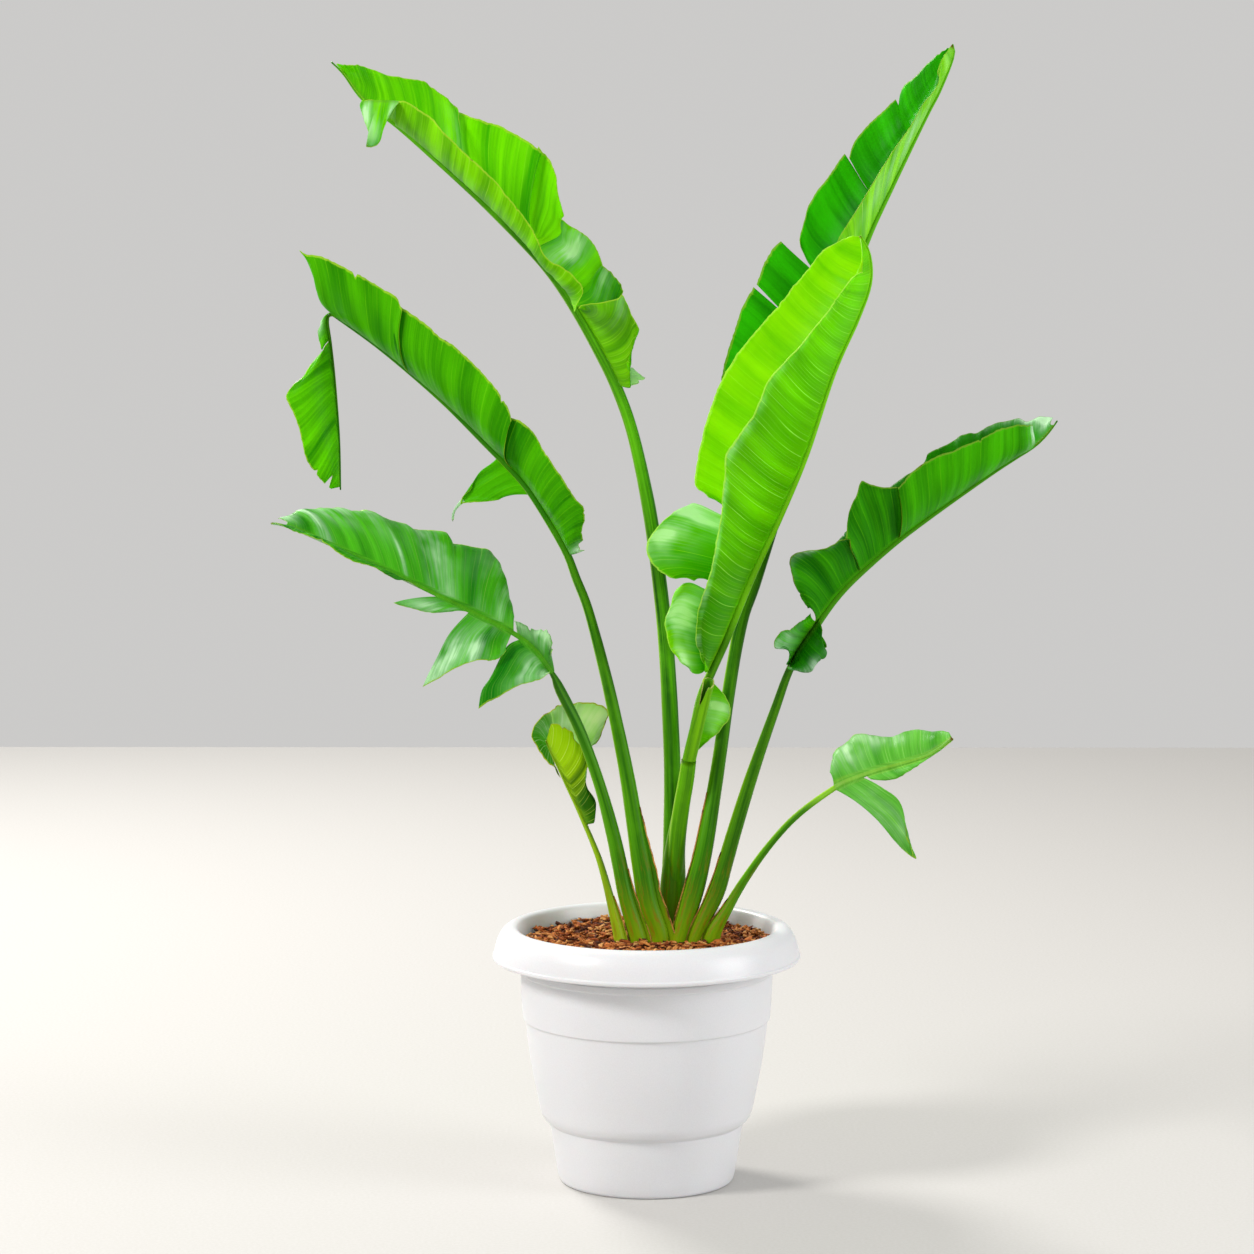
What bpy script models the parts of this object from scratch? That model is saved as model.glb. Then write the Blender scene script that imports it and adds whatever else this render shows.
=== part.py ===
"""A traveller's palm in a round plastic pot.

Every leaf is a stalk, which runs on as the midrib, and a blade, one sheet that wraps over the midrib's
upper side and opens out on both sides of it, torn along its veins into lobes. The stalks stand on a
short underground crown, in potting soil under a layer of bark chips.

Numbers are millimetres until a mesh is made. The pot's axis is Z, its foot stands on z = 0, the fan
of leaves spreads along X, and -Y is the front.
"""

import math

import bmesh
import bpy
from mathutils import Vector

MM = 0.001
GAP = 0.3

# Pot: radius and height, outer side from the foot up to the lip
FLOOR = 4.0
POT_SIDES = 44
FOOT_RADIUS = 84.0
FOOT_PROFILE = [(87.5, 2.5), (89.5, 9.0), (92.5, 30.0), (96.8, 59.0)]
BELLY_PROFILE = [(101.5, 63.0), (105.6, 69.0), (109.6, 88.0), (114.5, 112.0), (119.4, 145.0),
                 (121.5, 163.0)]
COLLAR_PROFILE = [(123.6, 166.0), (125.3, 186.0), (126.4, 213.0), (127.2, 216.0), (127.5, 240.0)]
RIM_UNDERSIDE = [(131.5, 250.5), (139.0, 252.5), (145.5, 243.0), (149.0, 229.5), (150.8, 225.5)]
RIM_OUTSIDE = [(153.4, 226.3), (154.0, 229.0), (151.6, 237.0), (148.6, 246.5), (144.8, 253.5),
               (137.0, 258.6)]
RIM_MOUTH = [(131.5, 258.2), (128.5, 255.5)]
INNER_WALL = [(124.6, 240.0), (118.4, 163.0), (106.6, 88.0), (94.4, 60.0), (89.0, 20.0), (84.0, FLOOR)]
DRAIN_COUNT = 4
DRAIN_RADIUS = 6.5
DRAIN_CIRCLE = 52.0

# Soil, bark chips and the crown that the stalks stand on
SEAT = 232.0
SOIL_TOP = SEAT - GAP
SOIL_CLEAR = 0.5
CHIPS_OUTER_TOP = 246.5
CHIPS_INNER_TOP = 243.0
CROWN_CENTRE = (21.0, 18.0)
CROWN_SIZE = (64.0, 42.0)
CROWN_DEPTH = 46.0
CROWN_SIDES = 28
HOLE_SIZE = (65.0, 43.0)
HOLE_SQUARENESS = 3.0

# Leaves
STALK_SIDES = 8
STALK_STEP = 32.0
RIB_STEP = 24.0
SHEET = 1.2
SHEET_STRIP = 3.0
BAND_STEPS = 4
LOBE_ROWS = 3


def lobe(start, end, edge, arch=(0, 0, 0), start_side=(), end_side=()):
    """Part of a blade on one side of the midrib, between two fractions of the midrib's length.

    The edge runs from the start to the end. A side is the tear, or the end of the blade, between the
    midrib and that end of the edge. The arch lifts the middle of the lobe.
    """
    return {"start": start, "end": end, "edge": edge, "arch": arch, "sides": (start_side, end_side)}


# Each stalk is (x, y, z, width along the fan, depth) from its foot, each rib is (x, y, z) up to the tip.
# "upper" points to the blade's upper side. "spread" gives the angles from it to the near and far roots.
LEAVES = {
    "sprout": {
        "stalk": [(-25, -3, 232, 13, 18), (-26.5, -3, 246, 12.6, 17), (-37, 0, 289, 9, 11),
                  (-46, 9, 320, 7, 8), (-54, 16, 340, 6, 6)],
        "rib": [(-60, 22, 353), (-70, 30, 374), (-79, 34, 392), (-88, 36, 411), (-101, 39, 439)],
        "rib_radius": (2.8, 1.0),
        "upper": (1, -0.2, 0.6),
        "spread": (60, 70),
        "near": [
            lobe(0.05, 1.0, [(-55, 19, 366), (-53, 17, 378), (-61, 15, 394), (-63, 13, 407), (-60, 14, 422),
                             (-67, 15, 438), (-78, 18, 452), (-94, 27, 458)], (6, -8, 0)),
        ],
        "far": [
            lobe(0.36, 1.0, [(-52, 60, 434), (-42, 66, 450), (-39, 70, 460), (-50, 73, 471), (-73, 75, 471),
                             (-100, 74, 463), (-111, 71, 451), (-114, 67, 438), (-105, 60, 421)], (0, 14, 6)),
        ],
    },
    "lower_left": {
        "stalk": [(-7.6, -1, 232, 19, 20), (-8.4, -1, 246, 19, 20), (-20.5, 0, 289, 16.5, 17),
                  (-27, 2, 320, 15, 15), (-34, 3, 352, 14, 14), (-47, 4, 400, 11.5, 12),
                  (-66, 4, 453, 11, 11), (-86, 2, 495, 10.4, 10.4)],
        "rib": [(-94, 0, 512), (-112, -2, 536), (-134, -4, 553), (-178, -8, 576), (-212, -10, 593),
                (-268, -12, 620), (-313, -14, 641), (-352, -15, 658), (-370, -15, 662)],
        "rib_radius": (5.0, 1.0),
        "upper": (0, -0.6, 0.8),
        "spread": (85, 75),
        "near": [
            lobe(0.0, 0.15, [(-112, -32, 507), (-130, -40, 500), (-147, -45, 492), (-165, -48, 482)],
                 (0, -4, 4), [(-101, -16, 511)], [(-144, -20, 531), (-155, -35, 512)]),
            lobe(0.18, 0.33, [(-150, -28, 530), (-172, -40, 528), (-198, -48, 518), (-220, -50, 505)],
                 (0, -4, 4), (), [(-191, -20, 560), (-208, -38, 533)]),
            lobe(0.36, 0.44, [(-222, -26, 577), (-246, -38, 584)], (0, 0, 1), (), [(-232, -26, 588)]),
            lobe(0.5, 1.0, [(-246, -36, 608), (-268, -50, 623), (-300, -54, 639), (-335, -46, 655),
                            (-364, -26, 664)], (0, -4, 3)),
        ],
        "far": [
            lobe(0.02, 0.15, [(-93, 16, 532), (-97, 22, 545), (-103, 25, 555), (-112, 23, 554),
                              (-122, 22, 560), (-130, 18, 563)], (0, 4, 2)),
            lobe(0.18, 1.0, [(-137, 28, 602), (-145, 33, 624), (-157, 36, 634), (-194, 36, 641),
                             (-207, 37, 654), (-240, 37, 662), (-271, 36, 673), (-306, 31, 677),
                             (-344, 20, 675), (-366, 2, 668)], (0, 2, 8)),
        ],
    },
    "middle_left": {
        "stalk": [(13.4, 0, 232, 20.5, 20), (12.4, 0, 250, 20.5, 20), (2, 0, 281, 21, 20),
                  (-5, 0, 320, 20, 18), (-10.5, 1, 352, 17, 16), (-18, 3, 400, 15, 15),
                  (-27, 4, 447, 13.4, 13.4), (-41, 4, 511, 11.6, 12), (-57, 5, 574, 10.8, 11),
                  (-69, 5, 606, 10.4, 10.4)],
        "rib": [(-78, 5, 630), (-93, 6, 657), (-116, 7, 693), (-134, 8, 714), (-157, 9, 737), (-196, 10, 776),
                (-231, 10, 807), (-268, 10, 837), (-306, 10, 864)],
        "rib_radius": (5.0, 2.2),
        "upper": (1, 0, 1),
        "spread": (65, 65),
        "near": [
            lobe(0.0, 0.31, [(-58, -12, 643), (-63, -22, 658), (-60, -32, 677), (-70, -40, 692),
                             (-86, -45, 714), (-100, -45, 737), (-111, -45, 755), (-126, -45, 766)],
                 (-4, -10, -2)),
            lobe(0.31, 0.72, [(-134, -46, 770), (-146, -46, 795), (-160, -46, 813), (-179, -46, 830),
                              (-202, -46, 847), (-218, -46, 860), (-235, -46, 871)], (-6, -12, -2)),
            lobe(0.72, 1.0, [(-240, -46, 878), (-252, -46, 889), (-276, -46, 906), (-304, -46, 919),
                             (-325, -46, 926), (-336, -45, 931)], (-6, -10, -2), (), [(-322, -16, 888)]),
        ],
        "far": [
            lobe(0.0, 0.2, [(-66, 28, 655), (-78, 44, 682), (-96, 48, 706), (-108, 46, 722)], (-2, 8, 0)),
            lobe(0.22, 0.36, [(-187, 38, 679), (-195, 40, 660)], (0, 4, 2), [(-151, 25, 680)],
                 [(-170, 26, 704)]),
            lobe(0.39, 1.0, [(-145, 48, 758), (-170, 50, 788), (-205, 50, 822), (-245, 50, 852),
                             (-285, 48, 878), (-316, 38, 892)], (-4, 8, 0)),
        ],
    },
    "upper_left": {
        "stalk": [(20, 40, 232, 16, 15), (21, 40, 260, 16, 15), (25, 40, 330, 17, 15), (26, 40, 400, 17, 15),
                  (24, 39, 459, 16.6, 15), (19.5, 38, 535, 15.4, 15), (11.5, 38, 610, 14.4, 14.4),
                  (1, 38, 681, 14, 14), (-13, 38, 748, 14, 14)],
        "rib": [(-29, 38, 794), (-49, 39, 834), (-74, 40, 877), (-99, 40, 912), (-129, 40, 944),
                (-167, 40, 981), (-206, 40, 1016), (-244, 40, 1049), (-280, 40, 1077), (-299, 40, 1102),
                (-311, 40, 1114)],
        "rib_radius": (7.0, 1.0),
        "upper": (1, 0, 0.8),
        "spread": (65, 65),
        "near": [
            lobe(0.0, 0.2, [(-20, 20, 808), (-17, 8, 817), (-15, -6, 832), (-13, -20, 851), (-18, -30, 872),
                            (-28, -33, 884), (-46, -33, 884)], (8, -8, -4), (), [(-64, -6, 882)]),
            lobe(0.215, 0.79, [(-62, -32, 893), (-84, -36, 919), (-113, -38, 955), (-142, -38, 992),
                               (-176, -38, 1026), (-210, -30, 1056), (-242, -12, 1073)], (-2, -12, -8)),
            lobe(0.8, 0.89, [(-256, -18, 1054), (-263, -21, 1035), (-269, -21, 1033), (-278, -17, 1056)],
                 (0, -4, 4), [(-250, -4, 1067)], [(-282, 8, 1072)]),
        ],
        "far": [
            lobe(0.05, 0.24, [(-36, 62, 866), (-28, 70, 884), (-26, 76, 894), (-33, 81, 906), (-43, 84, 916)],
                 (4, 8, -2)),
            lobe(0.255, 0.63, [(-49, 85, 926), (-59, 85, 942), (-84, 85, 959), (-87, 85, 980),
                               (-93, 85, 1006), (-107, 85, 1029), (-137, 85, 1048), (-167, 85, 1058),
                               (-185, 85, 1063)], (-4, 12, 6)),
            lobe(0.64, 1.0, [(-193, 84, 1071), (-200, 84, 1083), (-222, 79, 1095), (-256, 69, 1102),
                             (-283, 58, 1111), (-308, 48, 1117)], (-2, 8, 4)),
        ],
    },
    "young": {
        "stalk": [(26, 20, 232, 15, 17), (26, 20, 260, 22, 17), (26.3, 20, 290, 26, 18),
                  (28.5, 19, 340, 21, 18), (36, 15, 390, 16, 15)],
        "rib": [(42, 12, 425), (47, 10, 455), (54, 6, 488), (65, -4, 516), (78, -12, 546), (97, -18, 594),
                (112, -21, 629), (131, -24, 670), (156, -27, 730), (183, -30, 811), (206, -30, 863),
                (218, -30, 898), (217, -30, 926), (208, -30, 944)],
        "rib_radius": (5.5, 1.0),
        "upper": (-1, 0, 0.5),
        "spread": (50, 70),
        "near": [
            lobe(0.17, 1.0, [(61, -32, 522), (51, -55, 560), (54, -70, 589), (60, -80, 612), (67, -90, 654),
                             (72, -96, 685), (75, -100, 735), (94, -100, 772), (115, -98, 808),
                             (146, -90, 840), (178, -74, 875), (203, -46, 918)], (-4, -16, 0)),
        ],
        "far": [
            lobe(0.02, 0.15, [(55, 20, 434), (70, 14, 445), (81, 11, 462), (84, 9, 476), (79, 8, 490)],
                 (0, 7, 0), [(47, 21, 434)], [(61, 15, 497)]),
            lobe(0.18, 0.3, [(34, -34, 528), (23, -39, 546), (18, -41, 567), (27, -38, 588)], (-6, -14, 0),
                 [(47, -12, 518)], [(46, -26, 602)]),
            lobe(0.31, 0.42, [(18, -45, 615), (5, -45, 625), (-1, -42, 640), (8, -36, 658), (27, -26, 672)],
                 (-4, -16, 0), [(52, -28, 609)], [(53, -16, 679)]),
            lobe(0.435, 1.0, [(60, -4, 690), (50, 0, 704), (50, 4, 722), (58, 8, 758), (69, 10, 790),
                              (85, 10, 822), (110, 10, 853), (132, 8, 878), (162, 0, 915), (188, -14, 938),
                              (203, -24, 948)], (-4, 14, 0)),
        ],
    },
    "upper_right": {
        "stalk": [(33, 0, 232, 16, 20), (33.6, 0, 248, 16, 20), (45, 0, 285, 20, 18), (54, 1, 320, 18.6, 17),
                  (60.5, 5, 352, 17, 16), (71, 18, 413, 14, 14), (84, 26, 503, 13, 13),
                  (95, 28, 562, 13, 13), (108, 30, 600, 12.6, 12.6)],
        "rib": [(137, 32, 692), (167, 37, 781), (192, 40, 860), (217, 40, 936), (243, 40, 993),
                (275, 40, 1059), (289, 40, 1086), (302, 40, 1119), (301, 40, 1131)],
        "rib_radius": (5.8, 1.0),
        "upper": (-1, 0, 0.5),
        "spread": (60, 65),
        "near": [
            lobe(0.42, 1.0, [(178, 16, 915), (189, 8, 942), (202, 4, 964), (219, 2, 992), (236, 2, 1020),
                             (253, 4, 1047), (270, 9, 1072), (282, 16, 1090), (288, 26, 1113),
                             (297, 36, 1127)], (0, -8, 0)),
        ],
        "far": [
            lobe(0.15, 0.33, [(75, 78, 802), (85, 83, 841), (94, 85, 868), (105, 85, 890)], (-2, 10, -2)),
            lobe(0.34, 0.425, [(112, 85, 898), (120, 85, 920), (132, 85, 936)], (-2, 8, -2)),
            lobe(0.44, 0.605, [(162, 82, 920), (155, 85, 935), (156, 85, 953), (167, 85, 982),
                               (184, 85, 1005), (198, 85, 1023)], (-2, 10, -2)),
            lobe(0.615, 0.755, [(207, 84, 1019), (206, 85, 1032), (215, 85, 1047), (231, 84, 1063),
                                (245, 81, 1077)], (-2, 8, -2)),
            lobe(0.765, 1.0, [(251, 79, 1079), (265, 69, 1100), (278, 57, 1115), (294, 46, 1129)],
                 (-2, 6, -2)),
        ],
    },
    "middle_right": {
        "stalk": [(48.4, -1, 232, 13.4, 20), (49, -1, 248, 13.4, 20), (68, -2, 288, 17, 17),
                  (78, -3, 320, 15.6, 16), (87, -3, 352, 14.6, 15), (106, -5, 415, 12.6, 13),
                  (127, -6, 478, 11, 11)],
        "rib": [(143, -6, 521), (167, -7, 560), (194, -8, 596), (237, -9, 636), (277, -10, 667),
                (335, -10, 708), (384, -10, 737), (399, -10, 749), (403, -10, 759)],
        "rib_radius": (4.8, 1.0),
        "upper": (-1, 0, 1),
        "spread": (65, 85),
        "near": [
            lobe(0.0, 0.14, [(136, -30, 532), (127, -35, 541), (126, -34, 551), (132, -30, 558),
                             (144, -25, 561), (156, -18, 569)], (-2, -6, 0)),
            lobe(0.17, 0.32, [(151, -26, 594), (143, -40, 613), (139, -48, 628), (147, -51, 638),
                              (165, -52, 641), (184, -52, 648), (192, -50, 649)], (0, -8, 4)),
            lobe(0.325, 0.48, [(195, -50, 655), (195, -51, 665), (198, -53, 680), (204, -54, 694),
                               (209, -55, 706), (218, -55, 704), (229, -55, 702), (242, -52, 700)],
                 (0, -8, 4)),
            lobe(0.485, 0.89, [(247, -53, 704), (258, -55, 717), (273, -55, 727), (295, -55, 736),
                               (318, -52, 747), (341, -46, 756), (361, -38, 760), (376, -30, 760)],
                 (4, -8, -4), (), [(376, -20, 746)]),
        ],
        "far": [
            lobe(0.0, 0.12, [(152, 14, 520), (165, 15, 522), (170, 14, 529), (180, 10, 537)], (2, 4, 0)),
            lobe(0.17, 1.0, [(158, 30, 584), (175, 42, 618), (205, 45, 658), (240, 44, 692), (274, 42, 719),
                             (302, 42, 735), (322, 40, 748), (345, 35, 759), (369, 27, 766), (386, 15, 769),
                             (399, 2, 769)], (0, 8, 2)),
        ],
    },
    "lower_right": {
        "stalk": [(65, -2, 232, 18, 19), (66, -2, 250, 17, 18), (79, -4, 273, 11.5, 13),
                  (97, -6, 304, 8.6, 9), (121, -14, 340, 7, 7.4), (149, -24, 373, 6.6, 6.6)],
        "rib": [(186, -37, 403), (206, -41, 413), (227, -45, 421), (250, -48, 428), (272, -51, 435),
                (286, -53, 443), (300, -54, 454)],
        "rib_radius": (2.8, 0.9),
        "upper": (0, -0.8, 0.6),
        "spread": (80, 80),
        "near": [
            lobe(0.0, 0.24, [(247, -70, 350), (264, -75, 337), (255, -73, 358)], (4, -4, 4),
                 [(204, -56, 387), (224, -65, 370)], [(228, -60, 403), (244, -67, 389)]),
            lobe(0.27, 1.0, [(220, -56, 414), (234, -61, 414), (247, -65, 418), (262, -63, 426),
                             (278, -60, 437), (297, -60, 451)], (0, -3, 0)),
        ],
        "far": [
            lobe(0.0, 1.0, [(181, -26, 417), (182, -18, 428), (187, -10, 436), (196, -4, 444), (206, 0, 451),
                            (220, 0, 452), (238, -3, 452), (256, -9, 457), (280, -22, 459),
                            (297, -44, 459)], (0, -4, 3)),
        ],
    },
}

# The end of the middle left leaf has snapped and hangs down from the end of its midrib
BROKEN_LEAF = "middle_left"
BROKEN_RIB = [(-312, 10, 867), (-315, 10, 860), (-312, 9, 838), (-308, 8, 800), (-304, 6, 745),
              (-303, 5, 694)]
BROKEN_RADIUS = (1.7, 0.8)
BROKEN_BLADE = {
    "upper": (-1, 0, 0),
    "spread": (60, 60),
    "near": [
        lobe(0.06, 0.15, [(-326, 20, 858), (-328, 21, 848), (-323, 14, 838)], (0, 4, 0)),
        lobe(0.17, 0.98, [(-353, -12, 789), (-351, -14, 781), (-344, -14, 762), (-337, -10, 728),
                          (-328, -6, 714), (-313, -2, 696)], (0, -8, 0), [(-332, 0, 814)]),
    ],
    "far": [],
}

# The stub of an older leaf, cut off above the sheath that it shares with the young leaf
STUB = [(39.5, 0.4, 404), (42, -2.4, 424), (49, -7, 455), (56, -11, 485), (61, -14, 504)]
STUB_WIDTHS = (12.6, 13.6, 13.6, 13.0, 12.4)

COLOURS = {
    "pot": ((0.82, 0.83, 0.84), 0.35),
    "soil": ((0.06, 0.035, 0.02), 0.95),
    "bark_chips": ((0.24, 0.11, 0.05), 0.9),
    "root_crown": ((0.22, 0.16, 0.09), 0.8),
    "stalk": ((0.13, 0.33, 0.03), 0.45),
    "blade": ((0.12, 0.42, 0.03), 0.4),
}


class Curve:
    """A smooth curve through placed points, read by its length. Numbers after x, y, z go along with it."""

    def __init__(self, points, per_span=10):
        ends = [points[0], *points, points[-1]]
        self.points = [tuple(points[0])]
        self.lengths = [0.0]
        self.knots = [0.0]
        for a, b, c, d in zip(ends, ends[1:], ends[2:], ends[3:]):
            for step in range(1, per_span + 1):
                t = step / per_span
                here = tuple(catmull_rom(*values, t) for values in zip(a, b, c, d))
                self.lengths.append(self.lengths[-1] + math.dist(here[:3], self.points[-1][:3]))
                self.points.append(here)
            self.knots.append(self.lengths[-1])

    @property
    def length(self):
        return self.lengths[-1]

    def at_length(self, length):
        length = min(max(length, 0.0), self.length)
        for i in range(1, len(self.lengths)):
            if self.lengths[i] >= length:
                break
        span = self.lengths[i] - self.lengths[i - 1]
        share = (length - self.lengths[i - 1]) / span if span else 0.0
        return tuple(a + share * (b - a) for a, b in zip(self.points[i - 1], self.points[i]))

    def at(self, fraction):
        return self.at_length(fraction * self.length)


def catmull_rom(a, b, c, d, t):
    """The value between b and c at t, from 0 to 1, smooth with its neighbours a and d."""
    return b + 0.5 * t * (c - a + t * (2 * a - 5 * b + 4 * c - d + t * (3 * (b - c) + d - a)))


def make_material(name):
    colour, roughness = COLOURS[name]
    material = bpy.data.materials.new(name)
    material.use_nodes = True
    shader = material.node_tree.nodes["Principled BSDF"]
    shader.inputs["Base Color"].default_value = (*colour, 1.0)
    shader.inputs["Roughness"].default_value = roughness
    shader.inputs["Metallic"].default_value = 0.0
    return material


def make_object(name, mesh_maker, material_name, smooth_degrees=35):
    """A scene object from a bmesh in millimetres."""
    bmesh.ops.scale(mesh_maker, vec=(MM, MM, MM), verts=mesh_maker.verts)
    bmesh.ops.recalc_face_normals(mesh_maker, faces=mesh_maker.faces)
    mesh = bpy.data.meshes.new(name)
    mesh_maker.to_mesh(mesh)
    mesh_maker.free()
    mesh.shade_smooth()
    mesh.set_sharp_from_angle(angle=math.radians(smooth_degrees))
    mesh.materials.append(bpy.data.materials.get(material_name) or make_material(material_name))
    thing = bpy.data.objects.new(name, mesh)
    bpy.context.scene.collection.objects.link(thing)
    return thing


def hide_cutter(cutter):
    cutter.hide_render = True
    cutter.display_type = "WIRE"


def cut(thing, cutter):
    modifier = thing.modifiers.new("cut " + cutter.name, "BOOLEAN")
    modifier.operation = "DIFFERENCE"
    modifier.solver = "EXACT"
    modifier.object = cutter
    hide_cutter(cutter)


def skin_rings(bm, rings, close_ends=True):
    """Faces between closed rings of vertices, and over the first and the last."""
    for lower, upper in zip(rings, rings[1:]):
        for i in range(len(lower)):
            j = (i + 1) % len(lower)
            bm.faces.new((lower[i], lower[j], upper[j], upper[i]))
    if close_ends:
        bm.faces.new(rings[0][::-1])
        bm.faces.new(rings[-1])


def turned(profile, sides):
    """A body turned about Z from (radius, height) points that start and end near the axis."""
    bm = bmesh.new()
    rings = []
    for radius, height in profile:
        ring = []
        for i in range(sides):
            angle = 2 * math.pi * i / sides
            ring.append(bm.verts.new((radius * math.cos(angle), radius * math.sin(angle), height)))
        rings.append(ring)
    skin_rings(bm, rings)
    return bm


def build_pot():
    profile = [(FOOT_RADIUS, 0.0), *FOOT_PROFILE, *BELLY_PROFILE, *COLLAR_PROFILE]
    profile += [*RIM_UNDERSIDE, *RIM_OUTSIDE, *RIM_MOUTH, *INNER_WALL]
    pot = make_object("pot", turned(profile, POT_SIDES), "pot")
    for i in range(DRAIN_COUNT):
        angle = math.pi / 4 + 2 * math.pi * i / DRAIN_COUNT
        hole = bmesh.new()
        bmesh.ops.create_cone(hole, cap_ends=True, segments=10, radius1=DRAIN_RADIUS, radius2=DRAIN_RADIUS,
                              depth=4 * FLOOR)
        centre = (DRAIN_CIRCLE * math.cos(angle), DRAIN_CIRCLE * math.sin(angle), FLOOR / 2)
        bmesh.ops.translate(hole, vec=centre, verts=hole.verts)
        cut(pot, make_object(f"drain_hole_{i + 1}", hole, "pot"))


def inner_radius(height):
    """The pot's inner radius at a height, between the inner wall's points."""
    for (upper, top), (lower, bottom) in zip(INNER_WALL, INNER_WALL[1:]):
        if bottom <= height <= top:
            return lower + (upper - lower) * (height - bottom) / (top - bottom)
    mouth_radius, mouth_height = RIM_MOUTH[-1]
    wall_radius, wall_height = INNER_WALL[0]
    return wall_radius + (mouth_radius - wall_radius) * (height - wall_height) / (mouth_height - wall_height)


def oval_ring(bm, size, squareness, height, sides):
    """A ring of vertices round the crown's centre: an ellipse, or a squarer oval for a power over 2."""
    ring = []
    for i in range(sides):
        angle = 2 * math.pi * i / sides
        across, along = math.cos(angle), math.sin(angle)
        reach = (abs(across) ** squareness + abs(along) ** squareness) ** (-1 / squareness)
        x = CROWN_CENTRE[0] + size[0] * reach * across
        y = CROWN_CENTRE[1] + size[1] * reach * along
        ring.append(bm.verts.new((x, y, height)))
    return ring


def crown_mesh(extra, top):
    """The crown, or with some extra all round it the pocket that holds it."""
    bm = bmesh.new()
    rings = []
    for share, drop in ((0.45, CROWN_DEPTH), (0.8, 0.7 * CROWN_DEPTH), (1.0, 0.25 * CROWN_DEPTH)):
        size = [extra + share * half for half in CROWN_SIZE]
        rings.append(oval_ring(bm, size, 2.0, SEAT - GAP - drop - extra, CROWN_SIDES))
    rings.append(oval_ring(bm, [half + extra for half in CROWN_SIZE], 2.0, top, CROWN_SIDES))
    skin_rings(bm, rings)
    return bm


def build_ground():
    """The soil with the crown's pocket, the crown, and the ring of bark chips on the soil."""
    wall_heights = sorted(height for _, height in INNER_WALL[:-1] if height < SOIL_TOP)
    heights = [FLOOR + GAP, *wall_heights, SOIL_TOP]
    profile = [(inner_radius(height) - SOIL_CLEAR, height) for height in heights]
    soil = make_object("soil", turned(profile, POT_SIDES), "soil")
    cut(soil, make_object("crown_pocket", crown_mesh(GAP, SOIL_TOP + 10), "soil"))
    make_object("root_crown", crown_mesh(0.0, SEAT - GAP), "root_crown")

    bm = bmesh.new()
    bottom = SOIL_TOP + GAP
    rings = [oval_ring(bm, HOLE_SIZE, HOLE_SQUARENESS, bottom, POT_SIDES)]
    for height in (bottom, INNER_WALL[0][1], CHIPS_OUTER_TOP):
        radius = inner_radius(height) - SOIL_CLEAR
        ring = []
        for i in range(POT_SIDES):
            angle = 2 * math.pi * i / POT_SIDES
            ring.append(bm.verts.new((radius * math.cos(angle), radius * math.sin(angle), height)))
        rings.append(ring)
    rings.append(oval_ring(bm, HOLE_SIZE, HOLE_SQUARENESS, CHIPS_INNER_TOP, POT_SIDES))
    skin_rings(bm, rings + rings[:1], close_ends=False)
    make_object("bark_chips", bm, "bark_chips")


def tangents(points):
    found = []
    for i in range(len(points)):
        before = points[max(i - 1, 0)]
        after = points[min(i + 1, len(points) - 1)]
        found.append((Vector(after) - Vector(before)).normalized())
    return found


def tube(points, sizes, foot=None):
    """A tube with oval rings: each size is the width across the fan and the depth through it.

    Its foot is square to the tube, or to a direction of its own.
    """
    bm = bmesh.new()
    rings = []
    through = Vector((0, 1, 0))
    directions = tangents(points)
    directions[0] = foot or directions[0]
    for point, along, (width, depth) in zip(points, directions, sizes):
        across = along.cross(through).normalized()
        level = across.cross(along)
        ring = []
        for k in range(STALK_SIDES):
            angle = 2 * math.pi * k / STALK_SIDES
            reach = across * (width / 2 * math.cos(angle)) + level * (depth / 2 * math.sin(angle))
            ring.append(bm.verts.new(Vector(point) + reach))
        rings.append(ring)
    skin_rings(bm, rings)
    return bm


def rib_fractions(rib_length, lobes):
    """Where the midrib's rings lie: at every tear, and evenly between tears, close enough for the edges."""
    marks = sorted({0.0, 1.0, *(one["start"] for one in lobes), *(one["end"] for one in lobes)})
    found = [0.0]
    for before, after in zip(marks, marks[1:]):
        reach = (after - before) * rib_length
        for one in lobes:
            if one["start"] <= before and after <= one["end"]:
                edge_length = Curve(one["edge"]).length
                reach = max(reach, edge_length * (after - before) / (one["end"] - one["start"]))
        pieces = max(1, round(reach / RIB_STEP))
        found += [before + (after - before) * i / pieces for i in range(1, pieces + 1)]
    return found


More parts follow.
